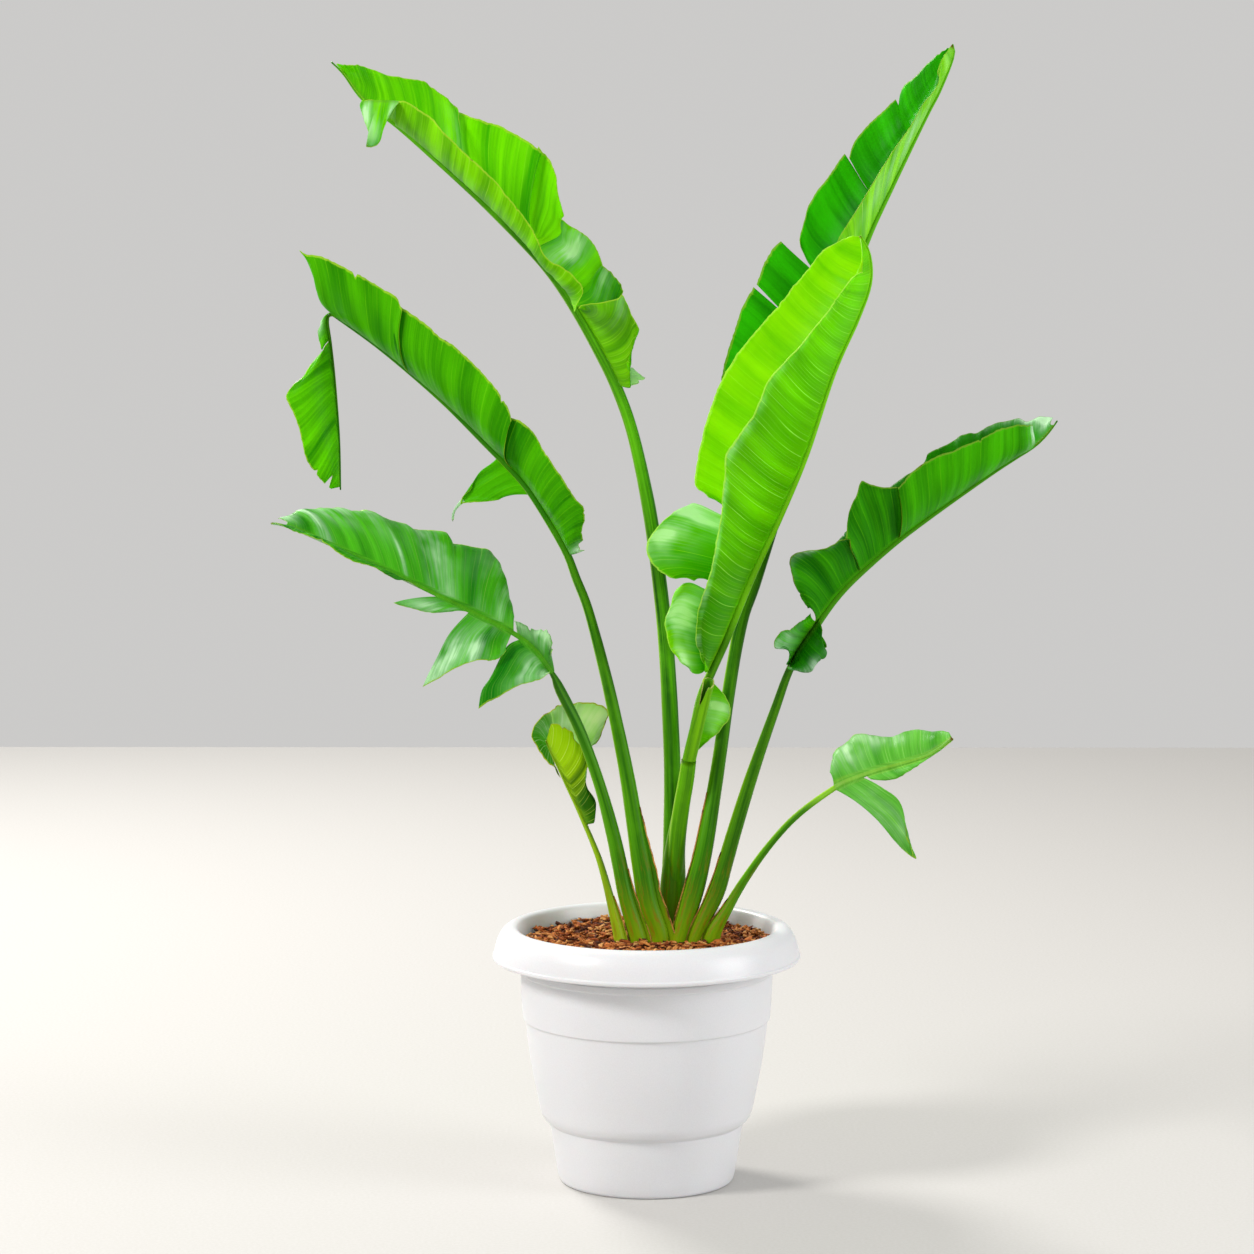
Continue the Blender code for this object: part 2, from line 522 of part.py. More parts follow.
class Blade:
    """One sheet over a midrib's rings: a band over its upper side, and lobes along the band's two edges."""

    def __init__(self, centres, radii, fractions, spec):
        self.bm = bmesh.new()
        self.centres = [Vector(centre) for centre in centres]
        self.fractions = fractions
        half_step = math.radians(sum(spec["spread"]) / BAND_STEPS / 2)
        clear = GAP + SHEET / 2 + 0.15
        self.band_radii = [(radius + clear) / math.cos(half_step) for radius in radii]
        self.find_sides(spec)
        self.build_band(spec)
        for lobes, column in ((spec["near"], 0), (spec["far"], BAND_STEPS)):
            self.build_lobes(lobes, column)

    def find_sides(self, spec):
        """At each ring, the direction of the upper side and the one towards the front."""
        along = tangents([tuple(centre) for centre in self.centres])
        upper = Vector(spec["upper"])
        self.upper = [(upper - direction * upper.dot(direction)).normalized() for direction in along]
        fronts = [direction.cross(up) for direction, up in zip(along, self.upper)]
        turn = -1 if fronts[len(fronts) // 2].y > 0 else 1
        self.front = [front * turn for front in fronts]

    def build_band(self, spec):
        """Each ring's row of the band, and faces over the stretch of midrib that carries lobes."""
        near, far = spec["spread"]
        self.band = []
        for centre, upper, front, radius in zip(self.centres, self.upper, self.front, self.band_radii):
            row = []
            for k in range(BAND_STEPS + 1):
                angle = math.radians(near - (near + far) * k / BAND_STEPS)
                row.append(self.bm.verts.new(
                    centre + upper * (radius * math.cos(angle)) + front * (radius * math.sin(angle))))
            self.band.append(row)
        lobes = spec["near"] + spec["far"]
        first = self.index(min(one["start"] for one in lobes))
        last = self.index(max(one["end"] for one in lobes))
        self.quads(self.band[first:last + 1])
        for row in self.band[:first] + self.band[last + 1:]:
            for vertex in row:
                self.bm.verts.remove(vertex)

    def quads(self, rows):
        for before, after in zip(rows, rows[1:]):
            for i in range(len(before) - 1):
                self.bm.faces.new((before[i], before[i + 1], after[i + 1], after[i]))

    def index(self, fraction):
        return min(range(len(self.fractions)), key=lambda i: abs(self.fractions[i] - fraction))

    def build_lobes(self, lobes, column):
        """A narrow strip joins the lobes to the band, so that a tear stops short of the midrib."""
        leans = {}
        for one in lobes:
            one["curve"] = Curve(one["edge"])
            first, last = self.index(one["start"]), self.index(one["end"])
            one["rings"] = range(first, last + 1)
            for i in one["rings"]:
                share = (self.fractions[i] - one["start"]) / (one["end"] - one["start"])
                target = Vector(one["curve"].at(share))
                if i == first and one["sides"][0]:
                    target = Vector(one["sides"][0][0])
                if i == last and one["sides"][1]:
                    target = Vector(one["sides"][1][0])
                leans.setdefault(i, []).append(target - self.band[i][column].co)
        strip = {}
        for i, found in leans.items():
            lean = sum((one.normalized() for one in found), Vector())
            reach = min(SHEET_STRIP, 0.4 * min(one.length for one in found))
            strip[i] = self.bm.verts.new(self.band[i][column].co + lean.normalized() * reach)
        for one in lobes:
            self.quads([[self.band[i][column], strip[i]] for i in one["rings"]])
            self.build_lobe(one, [strip[i] for i in one["rings"]])

    def build_lobe(self, one, roots):
        """A patch between the strip, the lobe's edge and its two sides."""
        edge = one["curve"]
        arch = Vector(one["arch"])
        start_side, end_side = (
            Curve([tuple(root.co), *side, edge.at(end)])
            for root, side, end in ((roots[0], one["sides"][0], 0.0), (roots[-1], one["sides"][1], 1.0))
        )
        rows = []
        for i, root in enumerate(roots):
            u = (self.fractions[one["rings"][i]] - one["start"]) / (one["end"] - one["start"])
            corner_a, corner_b = roots[0].co, roots[-1].co
            corner_c, corner_d = Vector(edge.at(0.0)), Vector(edge.at(1.0))
            row = [root]
            for j in range(1, LOBE_ROWS + 1):
                v = j / LOBE_ROWS
                place = root.co * (1 - v) + Vector(edge.at(u)) * v
                place += Vector(start_side.at(v)) * (1 - u) + Vector(end_side.at(v)) * u
                place -= (corner_a * (1 - u) + corner_b * u) * (1 - v)
                place -= (corner_c * (1 - u) + corner_d * u) * v
                row.append(self.bm.verts.new(place + arch * (4 * v * (1 - v))))
            rows.append(row)
        self.quads(rows)

    def finish(self, name):
        blade = make_object(name, self.bm, "blade", smooth_degrees=60)
        solidify = blade.modifiers.new("thickness", "SOLIDIFY")
        solidify.thickness = SHEET * MM
        solidify.offset = 0.0
        solidify.use_rim = True
        return blade


def build_leaf(name, leaf):
    rib_start = leaf["rib"][0]
    first_radius, tip_radius = leaf["rib_radius"]
    foot_to_rib = [*leaf["stalk"], (*rib_start, 2 * first_radius, 2 * first_radius)]
    rest = [(*point, 2 * first_radius, 2 * first_radius) for point in leaf["rib"][1:]]
    axis = Curve(foot_to_rib + rest)
    stalk_length = axis.knots[len(foot_to_rib) - 1]
    rib_length = axis.length - stalk_length
    stalk_rings = round(stalk_length / STALK_STEP)
    points = [axis.at_length(stalk_length * i / stalk_rings) for i in range(stalk_rings)]
    sizes = [point[3:] for point in points]

    fractions = rib_fractions(rib_length, leaf["near"] + leaf["far"])
    rib_points = [axis.at_length(stalk_length + rib_length * fraction)[:3] for fraction in fractions]
    radii = [first_radius + (tip_radius - first_radius) * fraction for fraction in fractions]
    centres = [point[:3] for point in points] + rib_points
    sizes += [(2 * radius, 2 * radius) for radius in radii]
    make_object(name + "_stalk", tube(centres, sizes, foot=Vector((0, 0, 1))), "stalk", 60)
    Blade(rib_points, radii, fractions, leaf).finish(name + "_blade")


def build_broken_end():
    """The snapped end starts flush against the end of the midrib that it hangs from."""
    leaf = LEAVES[BROKEN_LEAF]
    tip = Vector(leaf["rib"][-1])
    towards = (tip - Vector(leaf["rib"][-2])).normalized()
    start = tip + towards * GAP
    curve = Curve([tuple(start), *BROKEN_RIB])
    fractions = rib_fractions(curve.length, BROKEN_BLADE["near"])
    points = [curve.at(fraction) for fraction in fractions]
    first, last = BROKEN_RADIUS
    radii = [first + (last - first) * fraction for fraction in fractions]
    sizes = [(2 * radius, 2 * radius) for radius in radii]
    make_object(BROKEN_LEAF + "_snapped_rib", tube(points, sizes, foot=towards), "stalk", 60)
    Blade(points, radii, fractions, BROKEN_BLADE).finish(BROKEN_LEAF + "_snapped_blade")


def build_stub():
    make_object("young_stub", tube(STUB, [(width, width) for width in STUB_WIDTHS]), "stalk", 60)


def main():
    for thing in list(bpy.data.objects):
        bpy.data.objects.remove(thing, do_unlink=True)
    build_pot()
    build_ground()
    for name, leaf in LEAVES.items():
        build_leaf(name, leaf)
    build_broken_end()
    build_stub()


main()
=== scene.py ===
"""The looks of the potted traveller's palm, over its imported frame."""

import math

import bmesh
import bpy
import numpy as np
from mathutils import Matrix, Vector


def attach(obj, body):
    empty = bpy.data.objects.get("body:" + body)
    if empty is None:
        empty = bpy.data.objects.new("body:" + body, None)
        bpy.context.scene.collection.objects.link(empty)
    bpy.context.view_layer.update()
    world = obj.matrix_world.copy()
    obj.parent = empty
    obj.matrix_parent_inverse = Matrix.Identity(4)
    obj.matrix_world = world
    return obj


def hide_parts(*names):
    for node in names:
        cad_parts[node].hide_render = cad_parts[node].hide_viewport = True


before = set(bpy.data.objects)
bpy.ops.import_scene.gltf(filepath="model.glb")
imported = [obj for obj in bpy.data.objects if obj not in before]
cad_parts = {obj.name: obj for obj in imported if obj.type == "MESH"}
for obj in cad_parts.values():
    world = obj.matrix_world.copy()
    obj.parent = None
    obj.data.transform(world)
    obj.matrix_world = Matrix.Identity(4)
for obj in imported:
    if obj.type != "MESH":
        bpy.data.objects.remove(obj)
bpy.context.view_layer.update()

MM = 0.001

# Sampling: steps in millimetres, the rest are counts. ACROSS_CELLS is the fewest and the most.
ALONG_STEP = 2.2
ACROSS_STEP = 3.0
ACROSS_CELLS = (8, 34)
BAND_CELLS = 8
STALK_STEP = 7.0
STALK_SIDES = 28
SHEATH_COLUMNS = 5
HOLDER_RINGS = 26
STUB_RINGS = 40
STUB_SIDES = 32
POT_SIDES = 224
MULCH_SIDES = 96
MULCH_RINGS = 30
CHIP_SECTIONS = 5
SPAN_STEPS = 24
FILLET_STEPS = 5
SINES_EACH = 4

# Leaves, in millimetres: a blade's thickness, the gap between its band and the midrib, the spacing of
# its pleats and the stretch of margin that gets one nick. GROOVE is the depth of the stalk's channel, as
# a share of its radius.
SHEET = 0.55
BAND_CLEAR = 0.45
PLEAT_PITCH = 10.0
NICK_EVERY = 230
GROOVE = 0.5

# The direction that the camera looks in, on the level
VIEW = np.array([0.0, 1.0, 0.0])

# Ground, in millimetres
SOIL_LEVEL = 231.7
CHIPS_TOP = 243.5
INNER_RADIUS = 125.2

# Loose chips. For each size: its share of them, its shortest and longest, and how much broader it is.
CHIP_COUNT = 2100
CHIP_SIZES = ((0.35, 4, 7, 1.0), (0.42, 6, 11, 1.15), (0.23, 9, 16, 1.35))
CHIP_OUTLINE = np.array([(-0.5, -0.5), (0.1, -0.6), (0.5, -0.35), (0.45, 0.5), (-0.15, 0.6), (-0.5, 0.4)])

# Drain holes, in metres
DRAIN_HOLES = 4
DRAIN_CIRCLE = 0.052
DRAIN_RADIUS = 0.0065

# Seeds of the random draws. Leaves count on from theirs.
LEAF_SEED = 100
BROKEN_SEED = 91
MULCH_SEED = 11


def lobe(start, end, edge, arch=(0, 0, 0), start_side=(), end_side=(), **extra):
    """Part of a blade on one side of the midrib, between two fractions of the midrib's length.

    The sides are points along its two tears, and arch is how far its middle bulges. In the extras, "root" is
    a line of its own to grow from, "free" parts it from the band, "lean" moves the margin towards the tip,
    "nicks" and "tears" cut into it, "flare" lifts it beside its tears, and "ripple" and "curl" shape it.
    "bloom" paints a whitish sheen on it, and "shade" paints shade on it, or light where it is above 0.
    """
    return {"start": start, "end": end, "edge": edge, "arch": arch, "sides": (start_side, end_side), **extra}


# A lobe whose margin neither leans towards the tip nor lifts beside a tear
FLAT = {"lean": 0.0, "flare": 0.0}


# Each stalk is (x, y, z, width along the fan, depth) from its foot, each rib is (x, y, z) up to the tip.
# "upper" points to the blade's upper side. "spread" gives the angles from it to the near and far roots.
# "sheath" is its side, how far up it goes and its width. "holder" is a second tube, given as a stalk is.
LEAVES = {
    "sprout": {
        "sheath": (1, 62, 3.4),
        "stalk": [(-25, -3, 232, 13, 18), (-26.5, -3, 246, 12.6, 17), (-37, 0, 289, 9, 11),
            (-46, 9, 320, 7, 8), (-54, 16, 340, 6, 6)],
        "rib": [(-60, 22, 353), (-70, 30, 374), (-79, 34, 392), (-88, 36, 411), (-96, 38, 427),
            (-101, 39, 439)],
        "rib_radius": (2.8, 1),
        "upper": (1, -0.2, 0.6),
        "spread": (60, 70),
        "near": [
            lobe(0.03, 1, [(-56, 20, 363), (-52, 17, 376), (-55, 16, 385), (-61, 16, 394), (-63, 15, 407),
                (-60, 15, 422), (-64, 16, 431), (-67, 17, 438), (-74, 18, 444), (-78, 20, 452),
                (-85, 23, 456), (-94, 27, 458), (-98, 33, 449)], arch=(6, -8, 0),
                shade=[(0.95, 0.6, 0.45, 0.9, 0.16), (0.15, 0.8, 0.25, 0.7, -0.22),
                (0.3, 0.2, 0.3, 0.3, -0.06)]),
        ],
        "far": [
            lobe(0.36, 1, [(-52, 60, 434), (-48, 62, 441), (-45.5, 64, 446), (-42, 66, 451.5),
                (-39, 69, 461), (-43, 71.5, 468), (-50, 73, 470.5), (-56, 75, 473), (-73, 77, 472),
                (-90, 76, 468.5), (-97, 75, 464), (-104, 73.5, 461), (-108, 72, 455), (-112.5, 70.5, 450),
                (-115.5, 67, 439), (-112, 65, 432), (-110, 63, 427), (-104, 59, 419), (-95, 53, 410),
                (-88, 45, 400)], arch=(0, 14, 6), bloom=[(0.22, 0.7, 0.16, 0.4, 1.2),
                (0.48, 0.8, 0.1, 0.3, 0.9)], nicks=5, shade=[(0.88, 0.6, 0.3, 0.9, -0.34),
                (0.5, 0.5, 0.12, 0.9, -0.12), (0.25, 0.7, 0.2, 0.6, 0.16)]),
        ],
    },
    "lower_left": {
        "sheath": (1, 88, 5),
        "stalk": [(-7.6, -1, 232, 19, 20), (-8.4, -1, 246, 19, 20), (-20.5, 0, 289, 16.5, 17),
            (-27, 2, 320, 15, 15), (-34, 3, 352, 14, 14), (-47, 4, 400, 11.5, 12), (-66, 4, 453, 11, 11),
            (-86, 2, 495, 10.4, 10.4)],
        "rib": [(-94, 0, 512), (-112, -2, 536), (-134, -4, 553), (-178, -8, 576), (-212, -10, 593),
            (-268, -12, 620), (-313, -14, 641), (-352, -15, 658), (-370, -15, 662)],
        "rib_radius": (2.6, 0.8),
        "upper": (0, -0.6, 0.8),
        "spread": (85, 75),
        "lean": 0.2,
        "near": [
            lobe(0, 0.15, [(-97, -16, 516), (-104, -26, 511), (-116, -33, 508), (-134, -42, 500),
                (-153, -46, 490), (-165, -48, 482)], end_side=[(-139, -12, 539), (-153, -32, 513),
                (-162, -42, 499)], bloom=[(0.35, 0.5, 0.22, 0.6, 1.1), (0.05, 0.8, 0.12, 0.5, 1)],
                shade=[(0.85, 0.7, 0.25, 0.9, -0.2)], **FLAT),
            lobe(0.18, 0.33, [(-140, -22, 538), (-147, -30, 530), (-166, -38, 529), (-188, -44, 523),
                (-205, -48, 514), (-220, -50, 504)], end_side=[(-195, -18, 553), (-207, -36, 530)],
                bloom=[(0.75, 0.8, 0.3, 0.5, 1.5), (0.45, 0.5, 0.12, 0.7, 0.7), (0.12, 0.7, 0.1, 0.6, 0.8)],
                shade=[(0.3, 0.3, 0.2, 0.4, -0.15)], **FLAT),
            lobe(0.335, 0.44, [(-192, -16, 575), (-211, -24, 575), (-225, -30, 578), (-237, -34, 582),
                (-249, -37, 586)], arch=(0, 0, 1), end_side=[(-229, -26, 588)], nicks=0,
                bloom=[(0.5, 0.6, 0.4, 0.4, 1)], **FLAT),
            lobe(0.5, 1, [(-246, -36, 608), (-268, -50, 623), (-300, -54, 639), (-335, -46, 655),
                (-364, -26, 664)], arch=(0, -4, 3), shade=-0.1),
        ],
        "far": [
            lobe(0, 0.165, [(-97, 8, 531), (-95, 15, 538), (-96, 20, 547), (-101, 24, 554), (-110, 23, 553),
                (-122, 22, 558), (-131, 18, 563)], arch=(0, 4, 2), bloom=[(0.35, 0.7, 0.3, 0.5, 1.6),
                (0.9, 0.6, 0.2, 0.5, 1.2)], tears=[(0.15, 10), (0.5, 8), (0.75, 12)], lean=0.3, nicks=4),
            lobe(0.178, 0.955, [(-134, 14, 563), (-134, 20, 578), (-136, 25, 590), (-139, 28, 602),
                (-142, 31, 612), (-147, 33, 623), (-156, 35, 633), (-167, 36, 635), (-181, 37, 637),
                (-194, 37, 638), (-197, 37, 644), (-200, 37, 649), (-206, 37, 652), (-218, 37, 654),
                (-231, 37, 655), (-241, 37, 660), (-261, 37, 664), (-271, 37, 669), (-281, 36, 672),
                (-296, 35, 674), (-306, 33, 676), (-325, 28, 675), (-344, 20, 674), (-356, 12, 670),
                (-365, 5, 668)], arch=(0, 2, 8), end_side=[(-355, -8, 664)], lean=0.75,
                bloom=[(0.31, 0.5, 0.055, 1.4, 0.8), (0.09, 0.6, 0.07, 1.4, 0.7),
                (0.475, 0.2, 0.008, 0.45, 1), (0.66, 0.9, 0.22, 0.35, 0.9), (0.83, 0.6, 0.03, 1, 1.2),
                (0.95, 0.9, 0.05, 0.5, 0.8)], shade=[(0.19, 0.6, 0.06, 1.4, -0.07),
                (0.41, 0.6, 0.05, 1.4, -0.09), (0.9, 0.35, 0.05, 0.4, -0.14),
                (0.56, 0.4, 0.14, 0.9, 0.07)]),
        ],
    },
    "middle_left": {
        "sheath": (1, 150, 9),
        "stalk": [(13.4, 0, 232, 20.5, 20), (12.4, 0, 250, 20.5, 20), (2, 0, 281, 21, 20),
            (-5, 0, 320, 20, 18), (-10.5, 1, 352, 17, 16), (-18, 3, 400, 15, 15), (-27, 4, 447, 13.4, 13.4),
            (-41, 4, 511, 11.6, 12), (-57, 5, 574, 10.8, 11), (-69, 5, 606, 10.4, 10.4)],
        "rib": [(-78, 5, 630), (-93, 6, 657), (-116, 7, 693), (-134, 8, 714), (-157, 9, 737),
            (-196, 10, 776), (-231, 10, 807), (-268, 10, 837), (-306, 10, 864)],
        "rib_radius": (4.6, 1.6),
        "upper": (1, 0, 1),
        "spread": (65, 65),
        "near": [
            lobe(0, 0.325, [(-58, -14, 637), (-63, -18, 646), (-64, -25, 661), (-61, -33, 678),
                (-70, -40, 690), (-85, -44, 714), (-100, -43, 736), (-111, -42, 755), (-122, -41, 764),
                (-132, -39, 768)], arch=(-4, -10, -2), end_side=[(-137, -22, 735)], lean=0.1, flare=0.0,
                bloom=[(0, 1, 0.045, 0.5, 2)], tears=[(0.012, 5), (0.03, 4), (0.05, 5)],
                shade=[(0.97, 0.6, 0.07, 0.9, -0.3)]),
            lobe(0.305, 0.73, [(-132, -46, 766), (-134, -46, 776), (-140, -46, 786), (-146, -46, 795),
                (-160, -46, 812), (-178, -46, 830), (-190, -46, 840), (-202, -46, 847), (-213, -46, 858),
                (-221, -46, 864), (-230, -45, 870), (-236, -43, 874), (-241, -41, 876)], arch=(-6, -12, -2),
                start_side=[(-133, -30, 736)], end_side=[(-235, -3, 815), (-239, -24, 838),
                (-241, -35, 854)], lean=0.5, flare=0.0, shade=[(0, 0.6, 0.1, 0.9, -0.04),
                (0.99, 0.7, 0.07, 0.9, -0.3)]),
            lobe(0.712, 1, [(-237, -49, 873), (-240, -48, 878), (-242, -48, 884), (-246, -48, 888),
                (-254, -48, 892), (-270, -48, 902), (-286, -48, 910), (-301, -47, 918), (-317, -46, 925),
                (-331, -45, 927), (-336, -45, 932)], arch=(-6, -10, -2), start_side=[(-232, -9, 815),
                (-234, -32, 838), (-236, -44, 854)], end_side=[(-321, -14, 885), (-325, -31, 905),
                (-330, -40, 920)], lean=0.55, flare=0.0, shade=[(0.9, 0.8, 0.3, 0.9, 0.05)]),
        ],
        "far": [
            lobe(0, 0.2, [(-66, 28, 655), (-78, 44, 682), (-96, 48, 706), (-108, 46, 722)],
                arch=(-2, 8, 0)),
            lobe(0.2, 0.36, [(-148, 28, 682), (-161, 31, 680), (-173, 34, 679), (-183, 36, 678),
                (-186, 37, 677), (-186, 36, 679), (-183, 35, 687), (-177, 32, 696)], arch=(0, 4, 2),
                start_side=[(-129, 14, 686)], end_side=[(-154, 22, 717), (-166, 28, 708)], shade=0.12,
                nicks=0, ripple=0.5, lean=0.0),
            lobe(0.2, 0.36, [(-193, 42, 661), (-194, 42, 660), (-194, 42, 659), (-194, 42, 660),
                (-195, 42, 661)], start_side=[(-189, 38, 673), (-192, 40, 668)], end_side=[(-191, 38, 674),
                (-194, 40, 668)], root=[(-181, 35, 680), (-183, 35, 682), (-183, 35, 685)], bloom=2.0,
                nicks=0, ripple=0.0, curl=0.0, **FLAT),
            lobe(0.39, 1, [(-145, 48, 758), (-170, 50, 788), (-205, 50, 822), (-245, 50, 852),
                (-285, 48, 878), (-316, 38, 892)], arch=(-4, 8, 0)),
        ],
    },
    "upper_left": {
        "stalk": [(20, 40, 232, 16, 15), (21, 40, 260, 16, 15), (25, 40, 330, 17, 15),
            (26, 40, 400, 17, 15), (24, 39, 459, 16.6, 15), (19.5, 38, 535, 15.4, 15),
            (11.5, 38, 610, 14.4, 14.4), (1, 38, 681, 14, 14), (-13, 38, 748, 14, 14)],
        "rib": [(-29, 38, 794), (-49, 39, 834), (-74, 40, 877), (-99, 40, 912), (-129, 40, 944),
            (-167, 40, 981), (-206, 40, 1016), (-244, 40, 1049), (-280, 40, 1077), (-299, 40, 1102),
            (-311, 40, 1114)],
        "rib_radius": (7, 1),
        "upper": (1, 0, 0.8),
        "spread": (65, 65),
        "lean": 0.1,
        "near": [
            lobe(0, 0.212, [(-22, 27, 801), (-21, 20, 812), (-20, 14, 820), (-17, 6, 832), (-15, 0, 840),
                (-13, -6, 850), (-14, -12, 862), (-17, -17, 871), (-19, -22, 878), (-22, -26, 884),
                (-25, -30, 888), (-29, -31, 885), (-36, -32, 882), (-46, -33, 880), (-63, -33, 879),
                (-68, -32, 876)], arch=(8, -8, -4), lean=0.2, bloom=[(0.62, 0.75, 0.08, 0.4, 0.5)]),
            lobe(0, 0.07, [(-21, 26, 809), (-15, 28, 814), (-9, 29, 809), (-4, 30, 806), (-1, 30, 803),
                (-5, 31, 799), (-10, 31, 796), (-17, 32, 794)], arch=(2, -2, 0), free=True, bloom=2.0,
                shade=0.1, nicks=3, ripple=1.0),
            lobe(0.217, 0.79, [(-68, -31, 878), (-64, -32, 884), (-62, -33, 891), (-64, -34, 897),
                (-68, -35, 901), (-76, -36, 908), (-84, -37, 915), (-91, -37, 919), (-99, -37, 927),
                (-113, -38, 954), (-142, -38, 992), (-162, -38, 1011), (-178, -38, 1026), (-189, -37, 1038),
                (-201, -35, 1050), (-210, -31, 1059), (-220, -26, 1066), (-228, -21, 1071),
                (-236, -17, 1075), (-242, -14, 1074)], arch=(-2, -12, -8), lean=0.15, curl=0.6),
            lobe(0.792, 0.888, [(-240, -14, 1074), (-250, -16, 1075), (-260, -17, 1075), (-270, -16, 1075),
                (-278, -14, 1074)], arch=(0, -3, 0), nicks=0, ripple=0.2, curl=0.0, **FLAT),
            lobe(0.792, 0.888, [(-249, -20, 1063), (-254, -23, 1052), (-258, -24, 1042), (-261, -25, 1033),
                (-268, -26, 1029), (-274, -26, 1030), (-268, -25, 1034), (-269, -24, 1041),
                (-272, -23, 1049), (-276, -21, 1059), (-278, -19, 1066)], arch=(0, -4, 0),
                start_side=[(-243, -17, 1071)], end_side=[(-279, -17, 1071)], root=[(-240, -14, 1074),
                (-250, -16, 1075), (-260, -17, 1075), (-270, -16, 1075), (-278, -14, 1074)],
                bloom=[(0.15, 0.6, 0.15, 0.6, 1.2), (0.85, 0.6, 0.12, 0.6, 1.6), (0.5, 0.6, 0.1, 0.5, 0.8)],
                shade=[(0.5, 1, 0.12, 0.2, -0.3), (0.3, 0.4, 0.12, 0.5, -0.12)], nicks=0, ripple=0.3,
                curl=0.0, **FLAT),
        ],
        "far": [
            lobe(0.03, 0.27, [(-40, 58, 862), (-34, 66, 873), (-29, 72, 881), (-25, 75, 888),
                (-26, 77, 893), (-29, 80, 899), (-36, 83, 907), (-42, 85, 912), (-51, 87, 921)],
                arch=(4, 8, -2), end_side=[(-70, 66, 898), (-61, 78, 911)], lean=0.5, flare=0.0,
                bloom=[(0.75, 0.8, 0.2, 0.3, 1)], shade=-0.08),
            lobe(0.225, 0.385, [(-45, 80, 915), (-49, 84, 926), (-53, 85, 935), (-59, 85, 942),
                (-66, 85, 947), (-72, 85, 951), (-78, 86, 954), (-84, 87, 959), (-90, 88, 964)],
                arch=(-2, 10, 4), start_side=[(-58, 62, 890), (-50, 72, 903)], end_side=[(-93, 72, 939),
                (-91, 80, 953)], lean=0.5, flare=0.0, bloom=[(0.55, 0.65, 0.24, 0.5, 1.6)],
                shade=[(0.15, 0.6, 0.15, 0.6, 0.05), (0.95, 0.6, 0.15, 0.9, -0.12)]),
            lobe(0.37, 0.458, [(-85, 84, 964), (-85, 87, 971), (-87, 87, 979), (-89, 87, 987),
                (-91, 87, 995), (-92, 87, 1004), (-95, 87, 1013), (-100, 88, 1022), (-106, 89, 1028),
                (-110, 90, 1032)], arch=(-2, 12, 4), start_side=[(-86, 64, 939), (-85, 74, 953)],
                end_side=[(-120, 66, 943), (-118, 74, 961), (-114, 86, 999)], lean=0.3, flare=0.0,
                shade=0.1),
            lobe(0.445, 0.67, [(-105, 83, 1027), (-114, 84, 1034), (-120, 85, 1038), (-129, 85, 1043),
                (-137, 85, 1047), (-145, 85, 1052), (-152, 85, 1054), (-160, 85, 1056), (-167, 85, 1059),
                (-174, 85, 1061), (-181, 86, 1064), (-188, 87, 1066), (-195, 88, 1068)], arch=(-4, 12, 6),
                start_side=[(-115, 58, 943), (-114, 66, 961), (-109, 76, 999)], end_side=[(-189, 66, 1019),
                (-194, 80, 1043)], lean=0.1, flare=0.0, bloom=[(0.95, 0.6, 0.06, 0.7, 0.9)],
                shade=[(0.04, 0.6, 0.1, 0.9, -0.16)]),
            lobe(0.65, 0.975, [(-190, 83, 1066), (-192, 86, 1073), (-197, 84, 1080), (-202, 83, 1083),
                (-207, 82, 1086), (-211, 81, 1089), (-216, 80, 1092), (-222, 78, 1097), (-228, 76, 1098),
                (-241, 73, 1100), (-248, 71, 1101), (-256, 69, 1102), (-262, 66, 1104), (-267, 60, 1106),
                (-276, 54, 1108), (-286, 47, 1109), (-293, 40, 1110), (-299, 32, 1111), (-305, 22, 1112)],
                arch=(-2, 8, 4), start_side=[(-184, 58, 1020), (-184, 68, 1038), (-186, 76, 1053)],
                lean=0.25, flare=0.0, bloom=[(0.08, 0.4, 0.06, 0.4, 0.4)]),
        ],
    },
    "young": {
        "stalk": [(26, 20, 232, 15, 17), (26, 20, 260, 22, 17), (26.3, 20, 290, 26, 18),
            (28.5, 19, 340, 21, 18), (36, 15, 390, 16, 15)],
        "holder": [(27.5, 19, 285, 14, 12), (29, 16.5, 315, 17, 15), (31.5, 11.5, 350, 17, 16),
            (35, 6, 378, 16.4, 15.8), (39.3, 0.6, 404, 15.6, 15.4), (42.1, -2.6, 425, 14.9, 14.9)],
        "rib": [(42, 12, 425), (47, 10, 455), (54, 6, 488), (65, -4, 516), (78, -12, 546), (97, -18, 594),
            (112, -21, 629), (131, -24, 670), (156, -27, 730), (183, -30, 811), (206, -30, 863),
            (218, -30, 898), (217, -30, 926), (208, -30, 944)],
        "rib_radius": (5.5, 1),
        "upper": (-1, 0, 0.5),
        "spread": (50, 70),
        "lean": 0.2,
        "near": [
            lobe(0.168, 1, [(63, -26, 520), (54, -46, 544), (51, -57, 560), (52, -66, 577), (55, -73, 591),
                (60, -82, 612), (65, -88, 637), (67, -92, 654), (71, -96, 677), (72, -98, 697),
                (73, -100, 713), (73, -100, 725), (75, -100, 737), (85, -100, 751), (94, -100, 764),
                (101, -100, 774), (109, -100, 792), (116, -99, 808), (132, -97, 826), (146, -94, 840),
                (161, -88, 857), (178, -80, 874), (194, -68, 897), (209, -50, 920)], arch=(-4, -16, 0),
                lean=0.35, shade=[(0.05, 0.7, 0.12, 0.8, -0.22), (0.16, 0.4, 0.16, 0.9, -0.14),
                (0.9, 0.5, 0.2, 0.9, 0.06)], bloom=[(0.4, 0.99, 0.25, 0.1, 0.7),
                (0.12, 0.97, 0.1, 0.12, 0.4)], curl=5.0),
        ],
        "far": [
            lobe(0.015, 0.155, [(52, 18, 432), (59, 17, 439), (66, 15, 445), (72, 13.5, 450), (77, 12, 457),
